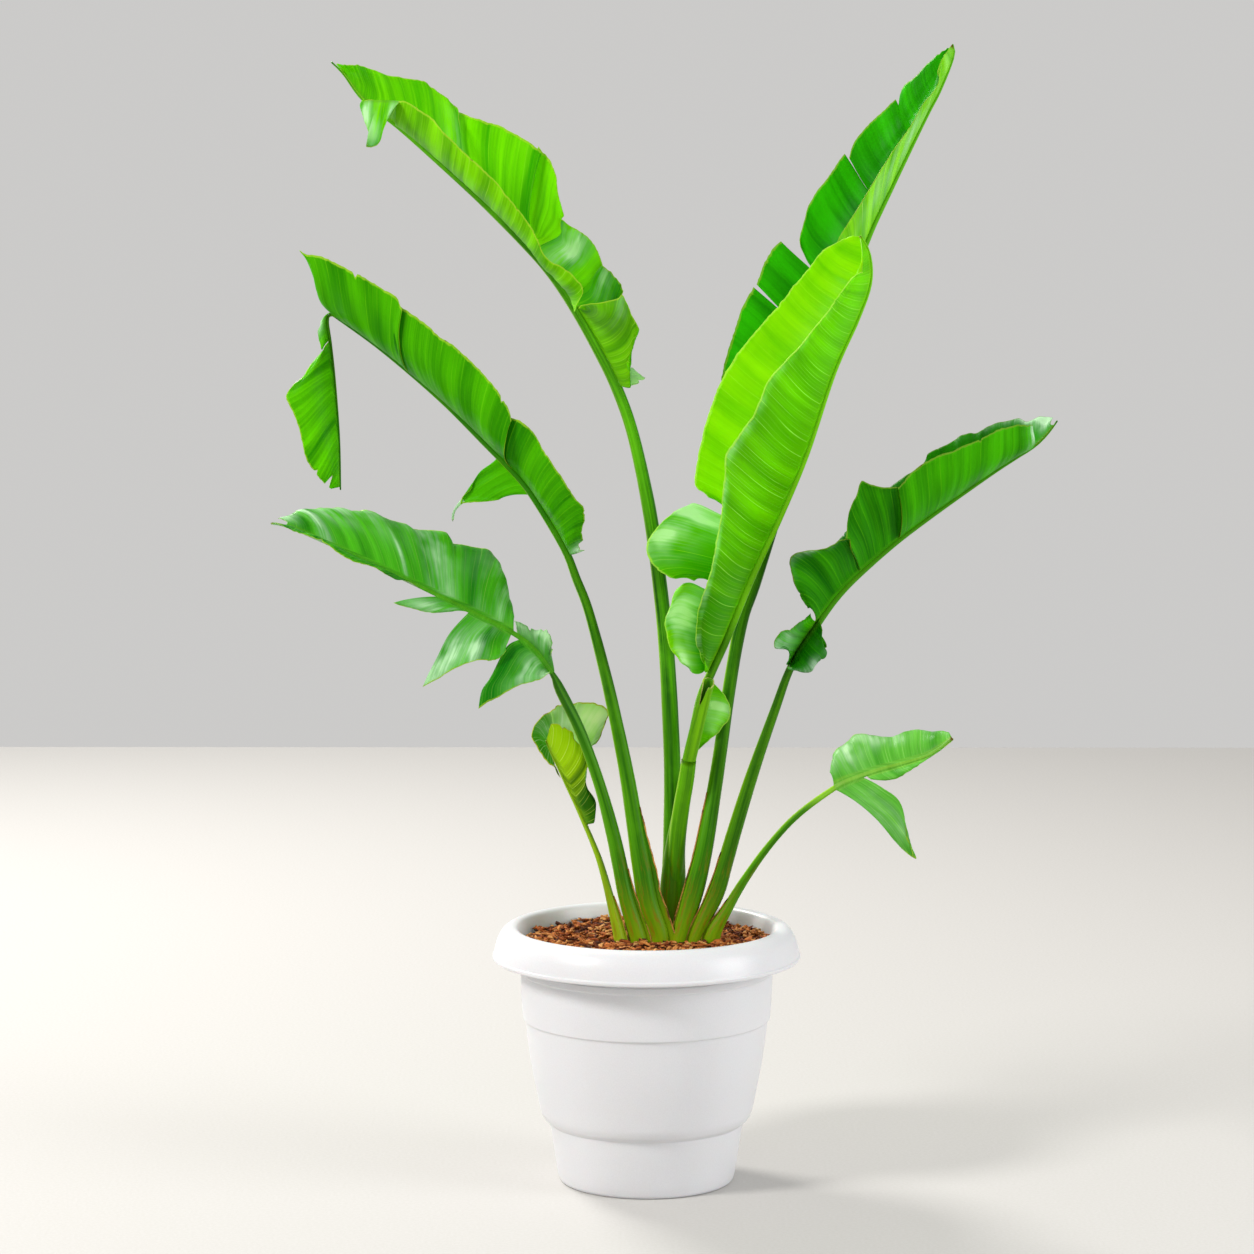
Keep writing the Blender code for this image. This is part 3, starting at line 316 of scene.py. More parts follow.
                (82, 11, 463), (84, 10, 471), (83, 9, 481), (79, 8.5, 490), (73, 8, 496), (68, 7, 500)],
                arch=(0, 1.5, 0), lean=0.1, nicks=0, bloom=[(0.62, 0.6, 0.14, 0.5, 1.3),
                (0.4, 0.7, 0.1, 0.3, 0.9)], shade=[(0.5, 0.05, 0.6, 0.3, -0.1),
                (0.6, 0.8, 0.6, 0.5, 0.25)]),
            lobe(0.178, 0.303, [(40, -30, 522), (34, -35, 527), (27, -38, 536), (23, -40, 546),
                (20, -41, 557), (18, -41, 567), (22, -41, 579), (28, -39, 591), (35, -35, 598)],
                arch=(-6, -14, 0), start_side=[(57, -12, 514)], end_side=[(50, -24, 605)], lean=0.2,
                bloom=[(0.66, 0.7, 0.25, 0.4, 1.7), (0.2, 0.75, 0.2, 0.3, 1.4)],
                shade=[(0.5, 0.1, 0.6, 0.35, -0.5), (0.5, 0.8, 0.6, 0.5, -0.18)]),
            lobe(0.308, 0.438, [(46, -34, 608), (34, -41, 611), (26, -44, 612), (18, -45, 615),
                (9, -45, 620), (3, -45, 628), (-1, -42, 639), (3, -39, 651), (11, -36, 661), (20, -31, 669),
                (31, -26, 674), (43, -20, 678)], arch=(-4, -16, 0), start_side=[(64, -20, 607)],
                end_side=[(58, -12, 679)], lean=0.1, bloom=[(0.9, 0.75, 0.16, 0.5, 1.7),
                (0.55, 0.85, 0.14, 0.25, 1.5)], shade=[(0.1, 0.5, 0.4, 0.9, -0.35),
                (0.6, 0.5, 0.4, 0.9, -0.2)]),
            lobe(0.442, 1, [(61, -3, 688), (56, -1, 695), (50, 0, 702), (50, 2, 712), (50, 4, 721),
                (53, 6, 739), (58, 8, 759), (69, 10, 790), (85, 10, 822), (97, 10, 838), (110, 10, 853),
                (132, 10, 878), (147, 6, 898), (162, 0, 916), (176, -8, 930), (190, -15, 939),
                (200, -23, 944)], arch=(-4, 14, 0), lean=0.3, shade=[(0.5, 0.3, 0.6, 0.4, -0.05),
                (0.4, 0.85, 0.5, 0.4, 0.08)]),
        ],
    },
    "upper_right": {
        "sheath": (-1, 165, 2.6),
        "stalk": [(33, 0, 232, 16, 20), (33.6, 0, 248, 16, 20), (45, 0, 285, 20, 18),
            (54, 1, 320, 18.6, 17), (60.5, 5, 352, 17, 16), (71, 18, 413, 14, 14), (84, 26, 503, 13, 13),
            (95, 28, 562, 13, 13), (108, 30, 600, 12.6, 12.6)],
        "rib": [(137, 32, 692), (167, 37, 781), (192, 40, 860), (217, 40, 936), (243, 40, 993),
            (275, 40, 1059), (289, 40, 1086), (302, 40, 1119), (301, 40, 1131)],
        "rib_radius": (5.8, 1),
        "upper": (-1, 0, 0.5),
        "spread": (60, 65),
        "lean": 0.15,
        "near": [
            lobe(0.42, 1, [(178, 16, 915), (189, 8, 942), (202, 4, 964), (219, 2, 992), (236, 2, 1020),
                (253, 4, 1047), (270, 9, 1072), (282, 16, 1090), (288, 26, 1113), (297, 36, 1127)],
                arch=(0, -8, 0), lean=0.6, nicks=0, bloom=[(0.5, 0.6, 0.3, 0.5, 0.5),
                (0.85, 0.6, 0.1, 0.5, 0.5)]),
        ],
        "far": [
            lobe(0.15, 0.3, [(75, 76, 800), (76, 79, 807), (78, 82, 817), (82, 84, 830), (87, 85, 846),
                (94, 85, 868), (100, 85, 880), (107, 85, 892)], arch=(-2, 10, -2), end_side=[(148, 72, 859),
                (129, 78, 876)], lean=0.5, flare=0.0, shade=[(0.5, 0.98, 0.6, 0.3, 0.14),
                (0.5, 0.1, 0.8, 0.45, -0.14)]),
            lobe(0.303, 0.436, [(110, 85, 895), (115, 85, 909), (120, 85, 920), (126, 85, 930),
                (134, 85, 938)], arch=(-2, 8, -2), start_side=[(148, 74, 859), (130, 80, 877)],
                end_side=[(178, 68, 901), (162, 76, 916)], lean=0.5, flare=0.0,
                shade=[(0.5, 0.98, 0.6, 0.3, 0.14), (0.5, 0.1, 0.8, 0.45, -0.14)]),
            lobe(0.44, 0.634, [(156, 84, 933), (155, 85, 942), (156, 85, 951), (160, 85, 968),
                (167, 85, 982), (175, 85, 994), (184, 85, 1005), (191, 85, 1016), (198, 85, 1025)],
                arch=(-2, 10, -2), start_side=[(179, 66, 903), (163, 78, 918)], end_side=[(229, 64, 985),
                (222, 70, 992), (210, 80, 1010)], lean=0.45, flare=0.0, shade=[(0.5, 0.98, 0.6, 0.3, 0.14),
                (0.5, 0.1, 0.8, 0.45, -0.14)]),
            lobe(0.637, 0.772, [(203, 86, 1021), (205, 86, 1031), (209, 86, 1040), (214, 86, 1046),
                (222, 86, 1055), (231, 86, 1063), (239, 85, 1071), (248, 84, 1079)], arch=(-2, 8, -2),
                start_side=[(228, 65, 985), (222, 71, 992), (210, 82, 1010)], end_side=[(263, 66, 1050),
                (259, 70, 1058), (254, 78, 1070)], lean=0.4, flare=0.0, shade=[(0.5, 0.98, 0.6, 0.3, 0.12),
                (0.5, 0.1, 0.8, 0.45, -0.12)]),
            lobe(0.77, 0.99, [(250, 84, 1079), (252, 82, 1086), (258, 77, 1094), (265, 70, 1100),
                (271, 63, 1108), (278, 57, 1114), (288, 50, 1122), (296, 44, 1128)], arch=(-2, 6, -2),
                start_side=[(260, 67, 1050), (256, 71, 1059), (252, 79, 1071)], lean=0.3, nicks=0,
                flare=0.0),
        ],
    },
    "middle_right": {
        "sheath": (-1, 110, 2.8),
        "stalk": [(48.4, -1, 232, 13.4, 20), (49, -1, 248, 13.4, 20), (68, -2, 288, 17, 17),
            (78, -3, 320, 15.6, 16), (87, -3, 352, 14.6, 15), (106, -5, 415, 12.6, 13),
            (127, -6, 478, 11, 11)],
        "rib": [(143, -6, 521), (167, -7, 560), (194, -8, 596), (237, -9, 636), (277, -10, 667),
            (335, -10, 708), (364, -10, 727), (377, -10, 735), (387, -10, 743), (396, -10, 753),
            (403, -10, 763)],
        "rib_radius": (4.8, 1),
        "upper": (-1, 0, 1),
        "spread": (65, 85),
        "lean": 0.3,
        "near": [
            lobe(0, 0.14, [(139, -27, 525), (142, -30, 533), (140, -32, 539), (135, -34, 543),
                (126, -38, 541), (125, -38, 547), (128, -37, 553), (133, -34, 558), (141, -30, 559),
                (149, -26, 564), (156, -20, 568), (162, -15, 573)], arch=(-2, -6, 0),
                end_side=[(166, -12, 567)], free=True, bloom=[(0.45, 0.75, 0.2, 0.4, 1.2)], nicks=2,
                lean=0.0),
            lobe(0, 0.15, [(138, -28, 521), (144, -30, 519), (152, -31, 517), (160, -31, 518),
                (166, -29, 524), (170, -26, 527), (177, -23, 529), (179, -21, 535), (174, -19, 542),
                (172, -17, 551)], arch=(2, -10, -2), start_side=[(138, -18, 521)],
                end_side=[(171, -13, 559)], free=True, bloom=[(0.4, 0.98, 0.3, 0.25, 1.2)],
                shade=[(0.5, 0.4, 0.6, 0.6, -0.14)], nicks=2, lean=0.0),
            lobe(0.135, 0.335, [(159, -24, 580), (152, -34, 589), (146, -41, 602), (142, -46, 614),
                (139, -49, 627), (141, -50, 634), (146, -51, 638), (155, -52, 640), (168, -52, 642),
                (179, -52, 645), (187, -51, 649), (193, -50, 650), (198, -48, 650)], arch=(0, -8, 4),
                start_side=[(166, -14, 569)], end_side=[(210, -12, 621), (203, -31, 637)], lean=0.35,
                flare=0.0, bloom=[(0.6, 0.98, 0.16, 0.1, 1.2)], shade=-0.12),
            lobe(0.322, 0.475, [(196, -50, 652), (195, -51, 660), (196, -52, 671), (197, -53, 678),
                (200, -54, 686), (203, -55, 692), (206, -55, 702), (209, -56, 708), (213, -56, 706),
                (218, -56, 704), (229, -54, 702), (236, -52, 702), (244, -50, 702), (249, -48, 703)],
                arch=(0, -8, 4), start_side=[(207, -18, 622), (199, -38, 637)], end_side=[(252, -21, 666)],
                lean=0.35, flare=0.0, shade=-0.1),
            lobe(0.46, 0.888, [(244, -54, 701), (250, -54, 708), (258, -55, 717), (266, -55, 723),
                (273, -55, 727), (281, -55, 731), (290, -55, 735), (297, -55, 737), (304, -54, 741),
                (312, -53, 744), (319, -52, 746), (327, -51, 750), (334, -50, 754), (344, -47, 758),
                (359, -42, 761), (368, -38, 761), (375, -34, 760)], arch=(4, -8, -4),
                start_side=[(246, -28, 667)], end_side=[(373, -18, 739), (375, -26, 747)], lean=0.35,
                flare=0.0, shade=[(0.6, 0.8, 0.4, 0.5, 0.1)], bloom=[(0.99, 0.8, 0.04, 0.5, 1.6)]),
        ],
        "far": [
            lobe(0, 0.12, [(152, 14, 520), (165, 15, 522), (170, 14, 529), (180, 10, 537)], arch=(2, 4, 0)),
            lobe(0.17, 0.985, [(158, 30, 584), (175, 42, 618), (205, 45, 658), (240, 44, 692),
                (274, 40, 717), (280, 42, 728), (288, 42, 733), (297, 42, 737), (305, 42, 742),
                (312, 42, 747), (322, 40, 749), (328, 39, 749), (337, 37, 754), (348, 34, 759),
                (354, 32, 760), (361, 30, 762), (369, 26, 764), (375, 22, 761), (379, 18, 762),
                (387, 12, 767), (394, 8, 767), (400, 3, 767)], arch=(0, 8, 2), end_side=[(397, -4, 760)],
                lean=0.2, bloom=[(0.97, 0.9, 0.05, 0.5, 2), (0.85, 0.98, 0.12, 0.12, 1.2)], shade=0.12,
                nicks=7),
        ],
    },
    "lower_right": {
        "sheath": (-1, 62, 3),
        "stalk": [(65, -2, 232, 18, 19), (66, -2, 250, 17, 18), (79, -4, 273, 11.5, 13),
            (97, -6, 304, 8.6, 9), (121, -14, 340, 7, 7.4), (149, -24, 373, 6.6, 6.6)],
        "rib": [(186, -37, 403), (206, -41, 413), (227, -45, 421), (250, -48, 428), (272, -51, 435),
            (286, -53, 443), (300, -54, 454)],
        "rib_radius": (2.8, 0.9),
        "upper": (0, -0.8, 0.6),
        "spread": (80, 80),
        "near": [
            lobe(0, 0.24, [(247, -70, 350), (264, -75, 337), (255, -73, 358)], arch=(4, -4, 4),
                start_side=[(204, -56, 387), (224, -65, 370)], end_side=[(228, -60, 403), (244, -67, 389)],
                bloom=[(0.35, 0.6, 0.3, 0.3, 0.6)]),
            lobe(0.27, 1, [(220, -56, 414), (234, -61, 414), (247, -65, 418), (262, -63, 426),
                (278, -60, 437), (297, -60, 451)], arch=(0, -3, 0)),
        ],
        "far": [
            lobe(0, 1, [(181, -26, 417), (182, -18, 428), (187, -10, 436), (196, -4, 444), (206, 0, 451),
                (220, 0, 452), (238, -3, 452), (256, -9, 457), (280, -22, 459), (297, -44, 459)],
                arch=(0, -4, 3), bloom=[(0.5, 0.8, 0.35, 0.25, 1), (0.2, 0.6, 0.12, 0.3, 0.8)], lean=0.1),
        ],
    },
}

# The end of the middle left leaf has snapped and hangs down from the end of its midrib
BROKEN_LEAF = "middle_left"
BROKEN_RIB = [(-312, 10, 867), (-315, 10, 860), (-312, 9, 838), (-308, 8, 800), (-304, 6, 745),
              (-303, 5, 694)]
BROKEN_RADIUS = (1.7, 0.8)
BROKEN_BLADE = {
    "groove": 0.1,
    "pleat": 0.5,
    "ripple": 1.5,
    "upper": (-1, 0, 0),
    "spread": (60, 60),
    "near": [
        lobe(0.02, 0.185, [(-306, 11, 867), (-314, 12, 867), (-318, 11, 864), (-321, 10, 860),
            (-322, 9, 854), (-324, 8, 849), (-323, 6, 842), (-319, 4, 832)], arch=(-1, -3, 0),
            bloom=[(0.35, 0.8, 0.25, 0.5, 1.3)], nicks=0, ripple=0.3),
        lobe(0.19, 0.985, [(-320, 2, 830), (-331, -3, 815), (-342, -8, 802), (-353, -12, 789),
            (-352, -14, 781), (-347, -14, 771), (-343, -14, 761), (-339, -12, 744), (-336, -10, 728),
            (-328, -6, 714), (-321, -3, 704), (-316, -2, 699), (-312, 0, 695)], arch=(0, -8, 0), lean=0.9,
            nicks=1, tears=[(0.965, 12)]),
    ],
    "far": [],
}

# The stub of an older leaf, cut off above the sheath that it shares with the young leaf
STUB = [(39.5, 0.4, 404), (42, -2.4, 424), (49, -7, 455), (56, -11, 485), (61, -14, 504)]
STUB_WIDTHS = (12.6, 13.6, 13.6, 13.0, 12.4)
STUB_WALL = 1.5
# The ring of the outside that the hollow starts at
STUB_FLOOR = 16


# ---------------------------------------------------------------- curves and small helpers


def catmull_rom(a, b, c, d, t):
    """The point between b and c at t, from 0 to 1, smooth with its neighbours a and d."""
    return b + 0.5 * t * (c - a + t * (2 * a - 5 * b + 4 * c - d + t * (3 * (b - c) + d - a)))


class Curve:
    """A smooth curve through placed points, read by its length. Numbers after x, y, z go along with it."""

    def __init__(self, points):
        points = [np.array(point, float) for point in points]
        ends = [points[0], *points, points[-1]]
        samples = [points[0]]
        for a, b, c, d in zip(ends, ends[1:], ends[2:], ends[3:]):
            samples += [catmull_rom(a, b, c, d, step / SPAN_STEPS) for step in range(1, SPAN_STEPS + 1)]
        self.samples = np.array(samples)
        steps = np.linalg.norm(np.diff(self.samples[:, :3], axis=0), axis=1)
        self.lengths = np.concatenate([[0.0], np.cumsum(steps)])
        self.knots = self.lengths[::SPAN_STEPS]
        self.length = self.lengths[-1]

    def at_length(self, lengths):
        return np.stack([np.interp(lengths, self.lengths, column) for column in self.samples.T], axis=-1)

    def at(self, fractions):
        return self.at_length(np.asarray(fractions) * self.length)


def unit(vectors):
    return vectors / np.maximum(np.linalg.norm(vectors, axis=-1, keepdims=True), 1e-9)


def tangents(points):
    found = np.empty_like(points)
    found[1:-1] = points[2:] - points[:-2]
    found[0] = points[1] - points[0]
    found[-1] = points[-1] - points[-2]
    return unit(found)


def smoothstep(low, high, value):
    t = np.clip((value - low) / (high - low), 0.0, 1.0)
    return t * t * (3 - 2 * t)


def waves(position, seed, lengths):
    """A smooth random line, about -1 to 1, from sines with random phases and lengths round those given."""
    rng = np.random.default_rng(seed)
    total = np.zeros_like(np.asarray(position, float))
    weight = 0.0
    for length in lengths:
        for _ in range(SINES_EACH):
            share = rng.uniform(0.6, 1.0)
            turns = position / (length * rng.uniform(0.75, 1.4))
            total += share * np.sin(2 * math.pi * turns + rng.uniform(0, 7))
            weight += share * share
    return total / math.sqrt(2 * weight)


def taper(ends, share):
    """A number that goes evenly from the first to the last of two."""
    first, last = ends
    return first + (last - first) * share


def angles_round(sides):
    """The directions of a ring's corners from its centre."""
    return 2 * math.pi * np.arange(sides) / sides


def level_ring(radius, height, angles):
    """A level ring of points round the pot's axis."""
    return np.stack([radius * np.cos(angles), radius * np.sin(angles), np.full(len(angles), height)], axis=-1)


def pairs(u, v):
    """Two numbers for each point of a grid, for one UV layer."""
    return np.stack(np.broadcast_arrays(u, v), axis=-1)


def spread_over(amount, u, v):
    """A number over a lobe's grid, or soft spots of it, each (u, v, reach along u, reach along v, number)."""
    if not isinstance(amount, list):
        return np.full(v.shape, float(amount))
    total = np.zeros(v.shape)
    for at_u, at_v, radius_u, radius_v, number in amount:
        away = ((u[:, None] - at_u) / radius_u) ** 2 + ((v - at_v) / radius_v) ** 2
        total += number * np.exp(-away)
    return total


class MeshParts:
    """Vertices, faces, UVs and material numbers gathered into one mesh."""

    def __init__(self):
        self.vertices, self.faces, self.marks = [], [], []
        self.layers = {"veins": [], "leaf": [], "tint": []}
        self.count = 0

    def add_vertices(self, points, veins=None, leaf=None, tint=None):
        """Adds points with their numbers for the UV layers, and returns their places in the mesh."""
        points = np.asarray(points, float).reshape(-1, 3)
        self.vertices.append(points)
        for values, given in zip(self.layers.values(), (veins, leaf, tint)):
            values.append(np.zeros((len(points), 2)) if given is None else np.reshape(given, (-1, 2)))
        first = self.count
        self.count += len(points)
        return np.arange(first, self.count)

    def add_faces(self, faces, mark=0):
        self.faces += [list(map(int, face)) for face in faces]
        self.marks += [mark] * len(faces)

    def add_grid(self, index, mark=0, flip=False, closed=False):
        if closed:
            index = np.concatenate([index, index[:, :1]], axis=1)
        quads = np.stack([index[:-1, :-1], index[:-1, 1:], index[1:, 1:], index[1:, :-1]], axis=-1)
        quads = quads.reshape(-1, 4)
        self.add_faces(quads[:, ::-1] if flip else quads, mark)

    def build(self, name, materials):
        vertices = np.concatenate(self.vertices) * MM
        mesh = bpy.data.meshes.new(name)
        mesh.from_pydata(vertices.tolist(), [], self.faces)
        mesh.polygons.foreach_set("material_index", self.marks)
        mesh.polygons.foreach_set("use_smooth", [True] * len(self.faces))
        corner = np.zeros(len(mesh.loops), dtype=np.int32)
        mesh.loops.foreach_get("vertex_index", corner)
        for layer_name, values in self.layers.items():
            layer = mesh.uv_layers.new(name=layer_name)
            layer.data.foreach_set("uv", np.concatenate(values)[corner].ravel())
        mesh.update()
        for material in materials:
            mesh.materials.append(material)
        return link(name, mesh)


def link(name, data):
    """A new object in the scene."""
    thing = bpy.data.objects.new(name, data)
    bpy.context.scene.collection.objects.link(thing)
    return thing


def declare(thing, node):
    """Says which body a piece rides on, and the CAD node that it replaces."""
    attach(thing, "root")
    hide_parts(node)


# ---------------------------------------------------------------- shader helpers


class Nodes:
    """Short calls for building one material's node tree."""

    def __init__(self, name):
        self.material = bpy.data.materials.new(name)
        self.material.use_nodes = True
        self.tree = self.material.node_tree
        self.tree.nodes.clear()

    def add(self, kind, inputs=(), **settings):
        node = self.tree.nodes.new(kind)
        for key, value in settings.items():
            setattr(node, key, value)
        for key, value in dict(inputs).items():
            self.put(node.inputs[key], value)
        return node

    def put(self, socket, value):
        if isinstance(value, bpy.types.NodeSocket):
            self.tree.links.new(value, socket)
        else:
            socket.default_value = value

    def math(self, operation, a, b=0.0, c=0.0, clamp=False):
        node = self.add("ShaderNodeMath", operation=operation, use_clamp=clamp)
        for socket, value in zip(node.inputs, (a, b, c)):
            self.put(socket, value)
        return node.outputs[0]

    def times(self, a, b):
        return self.math("MULTIPLY", a, b)

    def moved(self, value, noise, reach):
        """A value moved on by noise, as far as its reach."""
        return self.math("MULTIPLY_ADD", noise, reach, value)

    def total(self, *parts):
        """The sum of values, each times its share."""
        total = self.times(*parts[-1])
        for value, share in reversed(parts[:-1]):
            total = self.moved(total, value, share)
        return total

    def step(self, low, high, value, to_low=0.0, to_high=1.0):
        node = self.add("ShaderNodeMapRange", interpolation_type="SMOOTHSTEP")
        for socket, number in zip(node.inputs, (value, low, high, to_low, to_high)):
            self.put(socket, number)
        return node.outputs[0]

    def mix(self, factor, a, b, blend="MIX"):
        node = self.add("ShaderNodeMix", data_type="RGBA", blend_type=blend)
        self.put(node.inputs[0], factor)
        for socket, value in ((node.inputs[6], a), (node.inputs[7], b)):
            self.put(socket, value if isinstance(value, bpy.types.NodeSocket) else (*value, 1.0))
        return node.outputs[2]

    def paint(self, colour, new, where, share):
        """A colour with a new one laid over it, up to a share of it."""
        return self.mix(self.times(where, share), colour, new)

    def filtered(self, colour, other):
        return self.mix(1.0, colour, other, "MULTIPLY")

    def uv(self, name):
        return self.split(self.add("ShaderNodeUVMap", uv_map=name).outputs[0])[:2]

    def split(self, vector):
        return self.add("ShaderNodeSeparateXYZ", {0: vector}).outputs

    def join(self, x, y, z=0.0):
        return self.add("ShaderNodeCombineXYZ", {0: x, 1: y, 2: z}).outputs[0]

    def place(self):
        return self.add("ShaderNodeTexCoord").outputs["Object"]

    def noise(self, vector, scale, detail=2.0, roughness=0.5):
        return self.add("ShaderNodeTexNoise", {"Vector": vector, "Scale": scale, "Detail": detail,
                                               "Roughness": roughness}).outputs[0]

    def streaks(self, pair, scales, slice_at=0.0, detail=2.0, roughness=0.5):
        """Noise over two coordinates, each with its own scale. A scale of None takes one as it is."""
        x, y = (value if scale is None else self.times(value, scale) for value, scale in zip(pair, scales))
        return self.noise(self.join(x, y, slice_at), 1.0, detail, roughness)

    def bump(self, height, distance, strength):
        return self.add("ShaderNodeBump", {"Height": height, "Distance": distance,
                                           "Strength": strength}).outputs[0]

    def skin(self, colour, roughness, shine=0.5, **more):
        """The principled surface. Shine is its specular level."""
        return self.add("ShaderNodeBsdfPrincipled", {"Base Color": colour, "Roughness": roughness,
                                                     "Specular IOR Level": shine, **more}).outputs[0]

    def sheer(self, skin, share, colour, **more):
        """A surface that lets a share of the light through, in a colour."""
        through = self.add("ShaderNodeBsdfTranslucent", {"Color": colour, **more}).outputs[0]
        return self.add("ShaderNodeMixShader", {0: share, 1: skin, 2: through}).outputs[0]

    def surface(self, shader):
        self.add("ShaderNodeOutputMaterial", {"Surface": shader})
        return self.material


def rgb(red, green, blue):
    """A colour from 0 to 255 values, as light."""
    found = []
    for value in (red, green, blue):
        value = value / 255
        found.append(value / 12.92 if value <= 0.04045 else ((value + 0.055) / 1.055) ** 2.4)
    return tuple(found)


# The looks of each leaf. Colours are of the blade's upper side, its underside and its cut margin.
# "through" is the share of light that passes the blade, "dry_tip" the brown tip in centimetres,
# "bloom" the colour of a painted whitish sheen, and "deep" the filter for deep painted shade.
PLAIN = {
    "dark": rgb(24, 108, 10), "light": rgb(76, 168, 24), "vein": rgb(150, 205, 90), "veins": 0.5,
    "lines": 0.30, "rib": rgb(120, 186, 40), "rib_share": 0.4, "bloom": rgb(206, 244, 208),
    "margin": rgb(186, 222, 60), "margin_share": 0.7, "dry": rgb(112, 74, 30), "dry_from": 0.62,
    "dry_tip": 0.0, "rough": 0.38, "shine": 0.05, "glow": (1.0, 1.0, 0.3), "through": 0.36, "contrast": 0.6,
    "deep": (0.5, 0.62, 0.6),
}

# On a stalk, "foot_top" is a height in metres, and "dry_tip" and "rib_from" are shares of its length, more
# than 1 for none.
STALK = {
    "dark": rgb(22, 84, 0), "light": rgb(88, 164, 0), "foot": rgb(154, 176, 14), "foot_top": 0.36,
    # "edge" is a painted highlight down the side of the stalk that faces the key light.
    "edge": rgb(160, 206, 24), "dry_tip": 1.1, "rib": rgb(80, 140, 10), "rib_from": 1.2,
}

LOOKS = {
    "sprout": {
        "upper": {"dark": rgb(70, 160, 20), "light": rgb(196, 242, 150), "contrast": 0.7,
            "vein": rgb(226, 252, 196), "veins": 0.5, "margin": rgb(206, 212, 60), "margin_share": 0.9,
            "dry_from": 0.52, "through": 0.40, "bloom": rgb(232, 252, 226)},
        "under": {"dark": rgb(44, 108, 0), "light": rgb(180, 222, 6), "vein": rgb(224, 246, 110),
            "veins": 0.95, "contrast": 0.7},
        "rim": rgb(176, 190, 84),
        "stalk": {**STALK, "dark": rgb(88, 132, 0), "light": rgb(156, 194, 14), "foot": rgb(166, 182, 34)},
    },
    "lower_left": {
        "upper": {"dark": rgb(14, 128, 2), "light": rgb(96, 206, 36), "bloom": rgb(206, 244, 208),
            "rough": 0.32, "shine": 0.12, "contrast": 0.46, "dry_tip": 0.2},
        "under": {"dark": rgb(70, 160, 44), "light": rgb(166, 234, 148), "vein": rgb(200, 240, 180)},
        "rim": rgb(150, 190, 60),
        "stalk": {**STALK, "rib": rgb(70, 156, 14), "rib_from": 0.52},
    },
    "middle_left": {
        "upper": {"dark": rgb(38, 142, 0), "light": rgb(88, 198, 0), "vein": rgb(130, 220, 20),
            "dry_tip": 0.5},
        "under": {"dark": rgb(38, 142, 0), "light": rgb(90, 200, 0), "vein": rgb(130, 220, 24)},
        "rim": rgb(170, 206, 50),
        "stalk": {**STALK, "rib": rgb(34, 112, 0), "rib_from": 0.56},
        "snapped": {"dark": rgb(24, 142, 0), "light": rgb(118, 228, 0), "dry_tip": 0.15, "contrast": 0.6},
    },
    "upper_left": {
        "upper": {"dark": rgb(46, 178, 0), "light": rgb(146, 244, 0), "bloom": rgb(206, 248, 200),
            "vein": rgb(160, 240, 40), "contrast": 0.55, "dry_tip": 0.5},
        "under": {"dark": rgb(64, 160, 0), "light": rgb(156, 240, 6), "vein": rgb(200, 248, 90),
            "contrast": 0.5},
        "rim": rgb(180, 220, 70),
        "stalk": {**STALK, "dark": rgb(12, 78, 0), "light": rgb(112, 208, 20)},
    },
    "young": {
        "upper": {"dark": rgb(108, 222, 0), "light": rgb(190, 255, 0), "vein": rgb(196, 255, 60),
            "rib": rgb(170, 240, 40), "through": 0.46, "margin": rgb(200, 244, 90), "dry_tip": 0.3,
            "deep": (0.36, 0.72, 0.6), "contrast": 0.38, "bloom": rgb(206, 250, 196)},
        "under": {"dark": rgb(70, 158, 0), "light": rgb(140, 228, 0), "vein": rgb(196, 246, 110),
            "veins": 0.55, "contrast": 0.32, "deep": (0.5, 0.7, 0.6)},
        "rim": rgb(206, 244, 130),
        "stalk": {**STALK, "dark": rgb(44, 104, 0), "light": rgb(104, 180, 2), "rib": rgb(124, 206, 16),
            "rib_from": 0.46},
    },
    "upper_right": {
        "upper": {"dark": rgb(2, 112, 0), "light": rgb(56, 198, 0), "vein": rgb(70, 190, 10), "veins": 0.3,
            "margin": rgb(150, 190, 50), "through": 0.32, "dry_tip": 0.4, "contrast": 0.4},
        "under": {"dark": rgb(62, 182, 0), "light": rgb(168, 250, 40), "vein": rgb(206, 250, 130),
            "veins": 0.7, "contrast": 0.5},
        "rim": rgb(150, 180, 50),
        "stalk": {**STALK, "rib": rgb(96, 180, 10), "rib_from": 0.66},
    },
    "middle_right": {
        "upper": {"dark": rgb(6, 94, 0), "light": rgb(50, 164, 0), "vein": rgb(66, 170, 6),
            "margin": rgb(130, 170, 50), "through": 0.32, "bloom": rgb(200, 236, 204), "contrast": 0.45},
        "under": {"dark": rgb(14, 110, 0), "light": rgb(78, 200, 0), "vein": rgb(110, 206, 20),
            "contrast": 0.45},
        "rim": rgb(140, 140, 40),
        "stalk": {**STALK, "dark": rgb(20, 76, 0), "light": rgb(80, 144, 0), "rib": rgb(64, 140, 4),
            "rib_from": 0.5},
    },
    "lower_right": {
        "upper": {"dark": rgb(38, 150, 4), "light": rgb(136, 228, 84), "bloom": rgb(216, 250, 210),
            "vein": rgb(180, 232, 130), "rib": rgb(190, 224, 80), "rough": 0.32, "shine": 0.1,
            "contrast": 0.45, "dry_tip": 0.3},
        "under": {"dark": rgb(44, 136, 0), "light": rgb(104, 194, 36)},
        "rim": rgb(150, 176, 60),
        "stalk": {**STALK, "rib": rgb(130, 190, 40), "rib_from": 0.55},
    },
}


# ---------------------------------------------------------------- materials


